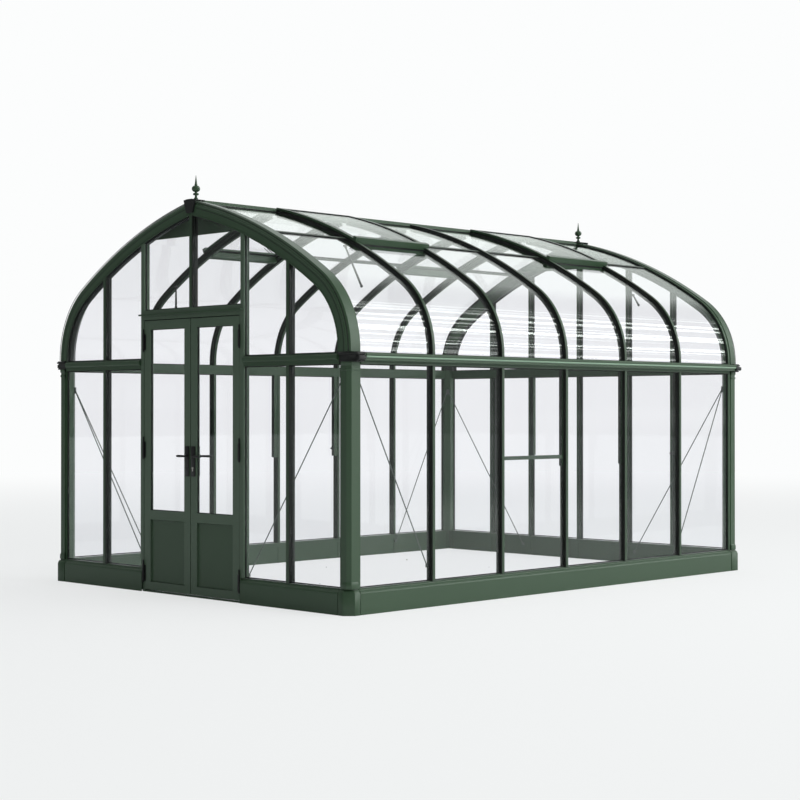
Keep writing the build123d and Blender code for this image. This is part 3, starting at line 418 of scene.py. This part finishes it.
# %% Plinth corner castings
low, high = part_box("plinth_corners")
plinth_x, plinth_y, plinth_top = high.x + 0.003, high.y + 0.003, high.z
moulding = [(0, 0), (0, plinth_top - 0.034), (0.004, plinth_top - 0.026), (0.004, plinth_top - 0.020),
            (0.012, plinth_top - 0.012), (0.014, plinth_top - 0.008), (0.022, plinth_top - 0.008),
            (0.022, plinth_top)]
bm = bmesh.new()
for side_x, side_y in ((1, -1), (-1, -1), (1, 1), (-1, 1)):
    cut = 0.056 if (side_x, side_y) == (1, -1) else 0.018
    corner_band(bm, (plinth_x, plinth_y, side_x, side_y), moulding, cut, (0.107, 0.107), 0.073, True)
corners = finish_piece("plinth_corner_castings", bm, green, bevel=0.0012)
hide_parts("plinth_corners")

# %% [markdown]
# ## Feet and heads of the corner posts
# A moulded collar closes the joint between each post and the plinth, and a second one hides the
# joint under the corner cap.

# %% Post collars
low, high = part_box("corner_posts")
bm = bmesh.new()
foot, head = low.z, high.z
for side_x, side_y in ((1, -1), (-1, -1), (1, 1), (-1, 1)):
    place = (high.x + 0.006, high.y + 0.006, side_x, side_y)
    for levels in ([(0, foot), (0, foot + 0.034), (0.003, foot + 0.038), (0.0055, foot + 0.048)],
                   [(0.0055, head - 0.128), (0.002, head - 0.124), (0.002, head - 0.112), (0.0045, head - 0.108)],
                   [(0.0045, head - 0.092), (0.001, head - 0.086), (0, head - 0.066)]):
        corner_band(bm, place, levels, 0.026, (0.081, 0.091), 0.016, False)
finish_piece("post_collars", bm, green, bevel=0.0008)

# %% [markdown]
# ## Glazing gaskets
# Each pane sits between extruded EPDM rubber gaskets: matt black, with a rounded lip that shows as
# a thin dark line along every bar. The lips are where the panes leave their slots, so the paths come
# from the panes themselves: a pane's face is inset by a little more than its edge cover. A
# Geometry Nodes tree then runs a round bead along all of the paths at once.


# %% Rubber
def rubber_finish():
    """EPDM: carbon black, matt, with the faint drag of the extrusion die."""
    material, tree, output = new_material("black_epdm_rubber")
    place = add_node(tree, "ShaderNodeTexCoord")
    drag = add_node(tree, "ShaderNodeTexNoise", Vector=place.outputs["Object"], Scale=420.0, Detail=3.0)
    tone = add_node(tree, "ShaderNodeMix", {"data_type": "RGBA"}, Factor=drag.outputs["Fac"])
    tone.inputs[6].default_value, tone.inputs[7].default_value = srgb("#0d0f0e"), srgb("#1a1d1b")
    bump = add_node(tree, "ShaderNodeBump", Strength=0.3, Distance=0.0002, Height=drag.outputs["Fac"])
    shader = add_node(tree, "ShaderNodeBsdfPrincipled", Base_Color=tone.outputs[2], Roughness=0.62,
                      Normal=bump.outputs[0])
    tree.links.new(shader.outputs[0], output.inputs[0])
    return material


rubber = rubber_finish()


# %% Bead tree
def bead_tree():
    """A round bead along every edge of the mesh that the tree is given."""
    tree = bpy.data.node_groups.new("bead_along_paths", "GeometryNodeTree")
    face = tree.interface
    face.new_socket("Paths", in_out="INPUT", socket_type="NodeSocketGeometry")
    face.new_socket("Radius", in_out="INPUT", socket_type="NodeSocketFloat").default_value = 0.003
    face.new_socket("Sides", in_out="INPUT", socket_type="NodeSocketInt").default_value = 8
    face.new_socket("Finish", in_out="INPUT", socket_type="NodeSocketMaterial")
    face.new_socket("Bead", in_out="OUTPUT", socket_type="NodeSocketGeometry")
    given = tree.nodes.new("NodeGroupInput")
    paths = add_node(tree, "GeometryNodeMeshToCurve", Mesh=given.outputs["Paths"])
    ring = add_node(tree, "GeometryNodeCurvePrimitiveCircle", Resolution=given.outputs["Sides"],
                    Radius=given.outputs["Radius"])
    bead = add_node(tree, "GeometryNodeCurveToMesh", Curve=paths.outputs[0], Profile_Curve=ring.outputs[0])
    bead.inputs["Fill Caps"].default_value = True
    real = add_node(tree, "GeometryNodeRealizeInstances", Geometry=bead.outputs[0])
    finish = add_node(tree, "GeometryNodeSetMaterial", Geometry=real.outputs[0], Material=given.outputs["Finish"])
    add_node(tree, "NodeGroupOutput", Bead=finish.outputs[0])
    return tree


beads = bead_tree()


def run_tree(name, mesh, tree, body, slot, **inputs):
    """Run a tree on a mesh and keep the result as a plain piece on its body."""
    piece = bpy.data.objects.new(name, mesh)
    scene.collection.objects.link(piece)
    modifier = piece.modifiers.new("making", "NODES")
    modifier.node_group = tree
    for key, value in inputs.items():
        modifier[tree.interface.items_tree[key].identifier] = value
    plain_mesh(piece)
    piece.data.name = name
    piece.data.shade_smooth()
    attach(piece, body)
    print(name, len(piece.data.polygons), "faces")
    return piece


def bead_piece(name, paths, radius, material, body="frame", slot="black_plastic", sides=8):
    """Beads along lists of points; a path whose ends meet is closed."""
    points, edges = [], []
    for path in paths:
        first = len(points)
        closed = (Vector(path[0]) - Vector(path[-1])).length < 1e-6
        points += [tuple(p) for p in (path[:-1] if closed else path)]
        count = len(points) - first
        edges += [(first + i, first + (i + 1) % count) for i in range(count if closed else count - 1)]
    mesh = bpy.data.meshes.new(name + "_paths")
    mesh.from_pydata(points, edges, [])
    return run_tree(name, mesh, beads, body, slot, Radius=radius, Sides=sides, Finish=material)


# %% Pane outlines
def pane_outlines(node_name, axis, inset=0.0135, lift=0.0012):
    """Closed outlines on both faces of each pane; axis is the way that a flat pane faces."""
    bm = bmesh.new()
    bm.from_mesh(nodes[node_name].data)
    bmesh.ops.remove_doubles(bm, verts=bm.verts, dist=1e-5)
    bm.normal_update()
    rim = []
    for face in bm.faces:
        if axis is None:
            wide = abs(face.normal.y) < 0.1 and min(edge.calc_length() for edge in face.edges) > 0.0046
        else:
            wide = abs(face.normal[axis]) > 0.9
        if not wide:
            rim.append(face)
    bmesh.ops.delete(bm, geom=rim, context="FACES")
    ring = bmesh.ops.inset_region(bm, faces=bm.faces[:], thickness=inset, use_even_offset=True, use_boundary=True)
    bmesh.ops.delete(bm, geom=ring["faces"], context="FACES")
    bm.normal_update()
    places = {vert: vert.co + vert.normal * lift for vert in bm.verts}
    nexts = {}
    for edge in bm.edges:
        if len(edge.link_faces) == 1:
            for here, there in (tuple(edge.verts), tuple(edge.verts)[::-1]):
                nexts.setdefault(here, []).append(there)
    outlines, seen_verts = [], set()
    for start in nexts:
        if start in seen_verts or len(nexts[start]) != 2:
            continue
        loop, before, here = [], None, start
        while here not in seen_verts:
            seen_verts.add(here)
            loop.append(places[here].copy())
            ahead = [v for v in nexts[here] if v is not before]
            before, here = here, ahead[0]
        outlines.append(loop + [loop[0]])
    bm.free()
    return outlines


def open_at_joint(path):
    """In the first bay on the left the panes are sealed edge to edge, so no gasket crosses there."""
    if max(p.y for p in path) > -1.4 or max(p.x for p in path) > 0:
        return path
    loop = path[:-1]
    for i, here in enumerate(loop):
        there = loop[(i + 1) % len(loop)]
        if abs(here.y - there.y) > 0.3 and 2.5 < here.z < 2.76:
            return loop[i + 1:] + loop[:i + 1]
    return path


fixed = []
for node_name, axis in (("gable_glass_front", 1), ("gable_glass_back", 1), ("wall_glass", 0),
                        ("roof_glass_lower", None), ("roof_glass_upper", None), ("roof_vent_glass", None)):
    found = pane_outlines(node_name, axis)
    if node_name in ("roof_glass_lower", "roof_glass_upper"):
        found = [open_at_joint(path) for path in found]
    fixed += found
    print(node_name, len(found), "outlines")
bead_piece("glazing_gaskets", fixed, 0.0050, rubber)
for side in ("left", "right"):
    bead_piece(f"door_{side}_gaskets", pane_outlines(f"door_{side}_glass", 1, inset=0.0125), 0.0036, rubber,
               body=f"{side}_door")

# %% [markdown]
# ## Lines of the gable arches
# The arches are extrusions bent to the roof line. Their face isn't flat: a raised nose runs along
# the middle, and a thin black rubber line on each side of it is a painted shadow where the face steps.


# %% Roof line
def roof_line(outwards, count=64, top=1.0):
    """Points (x, z) of the right-hand roof line at a distance outside the glass, from eaves to ridge."""
    skin_x, spring, small, ridge_z, turn = 1.660, 1.770, 0.640, 2.888, radians(56)
    knee_x, knee_z = skin_x - small * (1 - cos(turn)), spring + small * sin(turn)
    chord, lean = hypot(knee_x, ridge_z - knee_z), atan2(ridge_z - knee_z, knee_x)
    tilt = radians(90) - turn
    large = chord / (2 * sin(tilt - lean))
    mid_x, mid_z = knee_x - large * sin(tilt), knee_z - large * cos(tilt)
    points = [(skin_x + outwards, spring - 0.01)]
    for i in range(count + 1):
        part = turn * i / count
        points.append((skin_x - small + (small + outwards) * cos(part), spring + (small + outwards) * sin(part)))
    end = asin(max(-1, min(1, (0.066 - mid_x) / (large + outwards))))
    for i in range(1, count + 1):
        part = tilt + (end - tilt) * i / count * top
        points.append((mid_x + (large + outwards) * sin(part), mid_z + (large + outwards) * cos(part)))
    return points


def arch_lines(outwards, lift):
    low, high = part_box("gable_arch_front")
    lines = []
    for y in (low.y - lift, -low.y + lift):
        for side in (1, -1):
            lines.append([(side * x, y, z) for x, z in roof_line(outwards)])
    return lines


# Painted shadow lines: thin black rubber beads on the arch face, on both sides of the nose.
bead_piece("arch_joint_lines", arch_lines(0.013, -0.001) + arch_lines(-0.030, -0.001), 0.0024, rubber)
bead_piece("arch_nose_beads", arch_lines(-0.008, -0.004), 0.0085, green, slot="green_aluminium", sides=14)

# %% [markdown]
# ## Lever handles and lock plates
# The levers are die-cast and painted black. A real grip isn't a bar: it leaves the rose as a
# round neck, turns in a tight bend and swells towards the middle before it tapers to a rounded
# tip. It's swept as an oval that changes along its path. Each one rides on its own lever body.


# %% Lever handles
def lever_grip(bm, x_pivot, side, y_face, out, reach, length, height=1.030):
    """One grip: a neck out of the plate, a bend and a swelling grip; out is -1 outside and 1 inside."""
    bend = 0.011
    y_grip = y_face + out * (reach - 0.006)
    points = [(x_pivot, y_face, height), (x_pivot, y_grip - out * bend, height)]
    radii = [(0.0088, 0.0088), (0.0080, 0.0080)]
    for part in (0.35, 0.7):
        angle = part * pi / 2
        points.append((x_pivot + side * bend * (1 - cos(angle)), y_grip - out * bend * (1 - sin(angle)), height))
        radii.append((0.0082, 0.0070))
    for along, high, thick in ((0.020, 0.0078, 0.0058), (0.045, 0.0088, 0.0056), (0.068, 0.0090, 0.0052),
                               (0.085, 0.0084, 0.0050), (0.095, 0.0076, 0.0046), (0.0985, 0.0056, 0.0034),
                               (0.100, 0.0022, 0.0014)):
        points.append((x_pivot + side * along * length / 0.1, y_grip, height))
        radii.append((high, thick))
    swept(bm, points, radii)
    rose = [(0, 0.0155), (0.0035, 0.0155), (0.006, 0.0125), (0.007, 0.0095)]
    turned(bm, (x_pivot, y_face, height), (0, out, 0), rose, 24)


for side, name in ((1, "right"), (-1, "left")):
    low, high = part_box(f"lever_{name}")
    bm = bmesh.new()
    pivot = side * 0.035
    lever_grip(bm, pivot, side, low.y + 0.024, -1, 0.024, 0.100)
    lever_grip(bm, pivot, side, high.y - 0.024, 1, 0.046, 0.101)
    piece = finish_piece(f"lever_handle_{name}", bm, black_metal, body=f"{name}_lever")
    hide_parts(f"lever_{name}")


# %% Lock plates
def nickel_finish():
    """Satin nickel plate on the brass lock cylinder: metallic, its roughness broken by fine noise."""
    material, tree, output = new_material("satin_nickel_plate")
    place = add_node(tree, "ShaderNodeTexCoord")
    brush = add_node(tree, "ShaderNodeTexNoise", Vector=place.outputs["Object"], Scale=900.0, Detail=2.0)
    rough = add_node(tree, "ShaderNodeMapRange", Value=brush.outputs["Fac"], To_Min=0.22, To_Max=0.38)
    shader = add_node(tree, "ShaderNodeBsdfPrincipled", Base_Color=srgb("#c9c6be"), Metallic=1.0,
                      Roughness=rough.outputs[0])
    tree.links.new(shader.outputs[0], output.inputs[0])
    return material


nickel = nickel_finish()
key_height = 0.938
for side, name in ((1, "right"), (-1, "left")):
    low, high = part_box(f"door_{name}_lock_plates")
    x_near, x_far = min(abs(low.x), abs(high.x)), max(abs(low.x), abs(high.x))
    bm = bmesh.new()
    for y_from, y_to, reach in ((low.y, low.y + 0.0077, x_far), (high.y - 0.0077, high.y, x_far - 0.012)):
        ends = sorted((side * x_near, side * reach))
        slab(bm, (ends[0], y_from, low.z), (ends[1], y_to, high.z))
    plates = finish_piece(f"lock_plates_{name}", bm, black_metal, body=f"{name}_door",
                          bevel=0.0028)
    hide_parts(f"door_{name}_lock_plates")
    bm = bmesh.new()
    for face, out in ((low.y, -1), (high.y, 1)):
        middle = (side * 0.035, face, key_height + 0.006)
        barrel = [(-0.004, 0.0085), (0.0022, 0.0085), (0.003, 0.0075), (0.0031, 0.0016), (0.0012, 0.0014)]
        turned(bm, middle, (0, out, 0), barrel, 20)
        slab(bm, (side * 0.035 - 0.0045, min(face, face + out * 0.0022), key_height - 0.017),
             (side * 0.035 + 0.0045, max(face, face + out * 0.0022), key_height + 0.002))
    finish_piece(f"lock_cylinder_{name}", bm, nickel if side > 0 else black_metal, body=f"{name}_door",
                 bevel=0.0008)

# %% [markdown]
# ## Hinge pins
# Each butt hinge turns on a pin with a small turned finial at both ends, and its knuckle is cut into
# three; the shade in the gaps where one leaf's knuckle meets the other's is painted as thin black rubber rings.

# %% Hinge pins and knuckle rings
for side, name in ((1, "right"), (-1, "left")):
    bm, rings = bmesh.new(), bmesh.new()
    for level in (0.140, 1.070, 1.880):
        place = (side * 0.5595, -2.297)
        for end, way, length in ((level + 0.060, 1, 0.040), (level - 0.060, -1, 0.014)):
            turned(bm, (*place, end), (0, 0, way),
                   [(-0.002, 0.0050), (0.002, 0.0070), (0.005, 0.0070), (0.008, 0.0048), (length * 0.6, 0.0058),
                    (length * 0.85, 0.0050), (length, 0.0012)], 14)
        for ring in (level - 0.021, level + 0.021):
            turned(rings, (*place, ring - 0.0006), (0, 0, 1), [(0, 0.00825), (0.0012, 0.00825)], 20)
    finish_piece(f"hinge_pins_{name}", bm, black_metal, body=f"{name}_door")
    # Painted shade: black rubber rings at the knuckle gaps.
    finish_piece(f"knuckle_joints_{name}", rings, rubber, body=f"{name}_door")

# %% [markdown]
# ## Door panel beads
# A thin bead holds each aluminium panel in its rebate, and the fine shadow round it is painted as a ring of black
# rubber.

# %% Panel beads
for side, name in ((1, "right"), (-1, "left")):
    low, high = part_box(f"door_{name}_panel")
    paths, shadows = [], []
    for y in (low.y, high.y):
        for cover, target in ((0.0135, paths), (0.0105, shadows)):
            a, b, c, d = low.x + cover, high.x - cover, low.z + cover, high.z - cover
            target.append([(a, y, c), (b, y, c), (b, y, d), (a, y, d), (a, y, c)])
    bead_piece(f"panel_beads_{name}", paths, 0.0035, green, body=f"{name}_door", slot="green_aluminium")
    # Painted shadow: a thin black rubber ring between the bead and the panel's edge.
    bead_piece(f"panel_seals_{name}", shadows, 0.0022, rubber, body=f"{name}_door")

# %% [markdown]
# ## Roof vent stays
# Each roof vent is held by a casement stay: a tapered bar that hangs from an eye on the foot rail
# and ends in a small knob.


# %% Vent stays
def vent_stay(bm, top, foot):
    """A stay from its eye to its knob, with the eye's bracket."""
    top, foot = Vector(top), Vector(foot)
    run = foot - top
    length = run.length
    turned(bm, top, run, [(-0.006, 0.003), (0, 0.0075), (0.010, 0.0085), (0.022, 0.0060), (length * 0.5, 0.0072),
                          (length - 0.030, 0.0082), (length - 0.022, 0.0070), (length - 0.012, 0.0115),
                          (length - 0.003, 0.0095), (length, 0.003)], 14)
    knuckle = [(0, 0.006), (0.004, 0.008), (0.028, 0.008), (0.032, 0.006)]
    turned(bm, top + Vector((0, 0.016, 0)), (0, -1, 0), knuckle, 14)


bm = bmesh.new()
for top, foot in (((0.600, -1.298, 2.599), (0.600, -1.121, 2.297)),
                  ((-0.900, -1.723, 2.345), (-0.900, -1.723, 2.174)),
                  ((0.800, 2.007, 2.380), (0.800, 2.095, 2.287))):
    vent_stay(bm, top, foot)
finish_piece("roof_vent_stays", bm, black_metal)

# %% [markdown]
# ## Door stops
# The leaves close against an EPDM stop behind the head and the jambs. It fills the running gap, so no
# daylight shows over the doors.

# %% Door stop seals
low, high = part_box("door_left_frame")
back, stop, top = high.y + 0.0012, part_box("door_head")[0].x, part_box("door_head")[0].z
bm = bmesh.new()
slab(bm, (stop + 0.002, back, top - 0.016), (-stop - 0.002, back + 0.009, top - 0.0002))
for side in (1, -1):
    ends = sorted((side * (-stop - 0.0002), side * (-stop - 0.013)))
    slab(bm, (ends[0], back, 0.014), (ends[1], back + 0.009, top - 0.017))
finish_piece("door_stop_seals", bm, rubber, bevel=0.002)

# %% [markdown]
# ## Joints in the roof glass
# The upper and lower roof panes meet in slim cross bars, except in the first bay of the left slope,
# where the two panes are sealed edge to edge and no bar shows.


# %% Roof joint bars without the first on the left
def copy_of(node_name, keep, name):
    """A merged copy of a node's solids for which keep(lowest, highest) holds."""
    bm = bmesh.new()
    bm.from_mesh(nodes[node_name].data)
    bmesh.ops.remove_doubles(bm, verts=bm.verts, dist=1e-5)
    done, gone = set(), []
    for vert in bm.verts:
        if vert in done:
            continue
        island, todo = [], [vert]
        done.add(vert)
        while todo:
            here = todo.pop()
            island.append(here)
            for edge in here.link_edges:
                there = edge.other_vert(here)
                if there not in done:
                    done.add(there)
                    todo.append(there)
        lowest = [min(v.co[k] for v in island) for k in range(3)]
        highest = [max(v.co[k] for v in island) for k in range(3)]
        if not keep(lowest, highest):
            gone += island
    bmesh.ops.delete(bm, geom=gone, context="VERTS")
    print(name, "keeps", len(bm.verts), "vertices")
    return bm


bm = copy_of("roof_joint_bars", lambda a, b: not (b[0] < 0 and b[1] < -1.4), "roof_joints")
joints = finish_piece("roof_joints", bm, green_bar)
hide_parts("roof_joint_bars")

# %% [markdown]
# ## Caps at the eaves corners
# The gutter ends and the gable transoms meet in a moulded black cap: a foot plate, a narrower
# block, a flat top plate, and a lug that sticks out sideways to close the end of the gutter.

# %% Eaves corner caps
low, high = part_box("eaves_corner_caps")
face_x, face_y = 1.6825, 2.2915
gutter_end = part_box("gutters")[1].y
foot = low.z
levels = [(-0.016, foot), (-0.016, foot + 0.006), (-0.024, foot + 0.008), (-0.024, foot + 0.044),
          (-0.006, foot + 0.048), (-0.006, foot + 0.058), (-0.014, foot + 0.060), (-0.018, high.z)]
bm = bmesh.new()
for side_x in (1, -1):
    for side_y in (1, -1):
        rings = []
        for reach, z in levels:
            x_out, y_out = high.x - 0.008 + reach, high.y - 0.008 + reach
            cut = 0.052 + reach
            plan = [(1.588, face_y), (face_x - 0.012, face_y), (face_x, face_y - 0.012), (face_x, gutter_end + 0.001),
                    (x_out, gutter_end + 0.001), (x_out, y_out - cut), (x_out - cut, y_out), (1.588, y_out)]
            rings.append([bm.verts.new((px * side_x, py * side_y, z)) for px, py in plan])
        rings_to_skin(bm, rings)
        for x_from, x_to, z_from, z_to in ((high.x - 0.034, high.x - 0.009, foot + 0.010, foot + 0.043),
                                           (high.x - 0.010, high.x, foot + 0.014, foot + 0.039)):
            corners_x, corners_y = sorted((side_x * x_from, side_x * x_to)), sorted((side_y * 2.196, side_y * 2.262))
            slab(bm, (corners_x[0], corners_y[0], z_from), (corners_x[1], corners_y[1], z_to))
caps = finish_piece("eaves_corner_mouldings", bm, black_plastic, bevel=0.0014)
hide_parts("eaves_corner_caps")

# %% [markdown]
# ## Screws and bolts
# Self-tapping screws and dome bolts hold the fittings. One head is turned once and a Geometry Nodes
# tree is meant to put a copy on every point, turned to the way its surface faces and scaled to its size.
#
# **Known fault, not mended:** no head reaches its place. They all lie near the ground, each one exactly
# at its facing direction in metres. The likely cause, not tested, is in `screw_piece`: adding the second
# attribute makes the first reference stale, so writing the directions overwrites the points' positions.
# Adding both attributes first, then looking each up again by name, should put it right.


# %% Screw tree
def screw_tree():
    tree = bpy.data.node_groups.new("heads_on_points", "GeometryNodeTree")
    face = tree.interface
    face.new_socket("Points", in_out="INPUT", socket_type="NodeSocketGeometry")
    face.new_socket("Head", in_out="INPUT", socket_type="NodeSocketObject")
    face.new_socket("Finish", in_out="INPUT", socket_type="NodeSocketMaterial")
    face.new_socket("Heads", in_out="OUTPUT", socket_type="NodeSocketGeometry")
    given = tree.nodes.new("NodeGroupInput")
    head = add_node(tree, "GeometryNodeObjectInfo", Object=given.outputs["Head"])
    facing = add_node(tree, "GeometryNodeInputNamedAttribute", {"data_type": "FLOAT_VECTOR"}, Name="facing")
    size = add_node(tree, "GeometryNodeInputNamedAttribute", {"data_type": "FLOAT"}, Name="size")
    aim = add_node(tree, "FunctionNodeAlignRotationToVector", {"axis": "Z"}, Vector=facing.outputs["Attribute"])
    copies = add_node(tree, "GeometryNodeInstanceOnPoints", Points=given.outputs["Points"],
                      Instance=head.outputs["Geometry"], Rotation=aim.outputs[0], Scale=size.outputs["Attribute"])
    real = add_node(tree, "GeometryNodeRealizeInstances", Geometry=copies.outputs[0])
    finish = add_node(tree, "GeometryNodeSetMaterial", Geometry=real.outputs[0], Material=given.outputs["Finish"])
    add_node(tree, "NodeGroupOutput", Heads=finish.outputs[0])
    return tree


screws = screw_tree()
bm = bmesh.new()
dome = [(-0.1, 1.0), (0.18, 1.0), (0.42, 0.86), (0.58, 0.55), (0.60, 0.36), (0.30, 0.30)]
turned(bm, (0, 0, 0), (0, 0, 1), dome, 12)
head_mesh = bpy.data.meshes.new("dome_head")
bm.to_mesh(head_mesh)
bm.free()
head = bpy.data.objects.new("dome_head", head_mesh)


def screw_piece(name, places, material, body="frame", slot="black_metal"):
    """Heads at places; each is (point, way it faces, radius)."""
    mesh = bpy.data.meshes.new(name + "_points")
    mesh.from_pydata([p for p, _, _ in places], [], [])
    facing = mesh.attributes.new("facing", "FLOAT_VECTOR", "POINT")
    size = mesh.attributes.new("size", "FLOAT", "POINT")
    for i, (_, way, radius) in enumerate(places):
        facing.data[i].vector = way
        size.data[i].value = radius
    return run_tree(name, mesh, screws, body, slot, Head=head, Finish=material)


# %% Where the screws are
for side, name in ((1, "right"), (-1, "left")):
    low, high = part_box(f"door_{name}_lock_plates")
    places = []
    for y, way in ((low.y, -1), (high.y, 1)):
        places += [((side * 0.033, y, z), (0, way, 0), 0.0042)
                   for z in (low.z + 0.014, low.z + 0.085, high.z - 0.014)]
    hinge_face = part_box(f"door_{name}_frame")[0].y - 0.003
    places += [((side * 0.5465, hinge_face, level + up), (0, -1, 0), 0.0036)
               for level in (0.140, 1.070, 1.880) for up in (-0.046, -0.015, 0.015, 0.046)]
    screw_piece(f"door_screws_{name}", places, black_metal, body=f"{name}_door")

low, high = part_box("corner_posts")
places = []
for side_x in (1, -1):
    for side_y in (1, -1):
        for z in (low.z + 0.018, high.z - 0.118):
            inset = 0.0062 if z < 1 else 0.0042
            places.append((((high.x - 0.046) * side_x, (high.y + inset) * side_y, z), (0, side_y, 0), 0.0050))
            places.append((((high.x + inset) * side_x, (high.y - 0.052) * side_y, z), (side_x, 0, 0), 0.0050))
bay = 0.735
bar_lines = [i * bay for i in (-2, -1, 0, 1, 2)]
cleat_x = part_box("plinth_sides")[1].x - 0.072 - 0.0063
for y in bar_lines:
    places += [((side * cleat_x, y, z), (-side, 0, 0), 0.0055) for side in (1, -1) for z in (0.045, 0.110)]
low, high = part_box("apex_keystones")
places += [((x, side * high.y, z), (0, side, 0), 0.0048) for side in (1, -1) for x in (-0.026, 0.026)
           for z in (low.z + 0.020, high.z - 0.028)]
screw_piece("frame_screws", places, black_metal)

low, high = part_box("eaves_corner_caps")
bolts = [((side_x * (high.x - 0.046), side_y * (high.y - 0.046), 1.718), (side_x, side_y, 0), 0.0095)
         for side_x in (1, -1) for side_y in (1, -1)]
screw_piece("corner_cap_bolts", bolts, nickel)

# %% [markdown]
# ## Gutter beads
# A rolled bead stiffens the outer face of each gutter; its pale green is a painted highlight, a line of light along
# its length.

# %% Gutter beads
low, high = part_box("gutters")
bead_radius, bead_inset, bead_drop, end_gap = 0.0075, 0.0095, 0.026, 0.002
lines = [[(side * (high.x - bead_inset), y, high.z - bead_drop) for y in (low.y + end_gap, high.y - end_gap)]
         for side in (1, -1)]
bead_piece("gutter_beads", lines, bead_radius, painted_highlight_green, slot="green_aluminium", sides=14)

# %% [markdown]
# ## Stay brackets, catches and the hook
# The first left vent has a bracket for its second stay, with two thin rods; each side window has a
# small catch; and a turned hook hangs under the end of the ridge. These are small, so their shapes are
# guesses. The bracket's stud has the fault of the screws above.

# %% Brackets, catches and hook
bm = bmesh.new()
for shift in (0.0, 0.034):
    rod = [(0, 0.0030), (0.070, 0.0036), (0.138, 0.0030)]
    turned(bm, (-0.839, -0.855 + shift, 2.709), (0, 0.121, -0.075), rod, 10)
slab(bm, (-0.853, -0.800, 2.600), (-0.829, -0.730, 2.632))
catch_x = 1.640
for side, y in ((1, 1.435), (-1, 0.700)):
    slab(bm, (side * catch_x - 0.012, y - 0.037, 1.004), (side * catch_x + 0.012, y, 1.024))
    slab(bm, (side * catch_x - 0.007, y - 0.052, 1.010), (side * catch_x + 0.007, y - 0.036, 1.018))
finish_piece("stay_brackets_and_catches", bm, black_metal, bevel=0.0015)

bm = bmesh.new()
drop = [(-0.004, 0.016), (0.004, 0.020), (0.008, 0.030), (0.014, 0.036), (0.030, 0.038),
        (0.040, 0.030), (0.050, 0.018), (0.062, 0.012), (0.070, 0.014), (0.078, 0.004)]
turned(bm, (0, 2.160, 2.864), (0, 0, -1), drop, 24)
finish_piece("ridge_end_hook", bm, black_metal)
screw_piece("bracket_stud", [((-0.829, -0.765, 2.616), (1, 0, 0), 0.0075)], nickel)
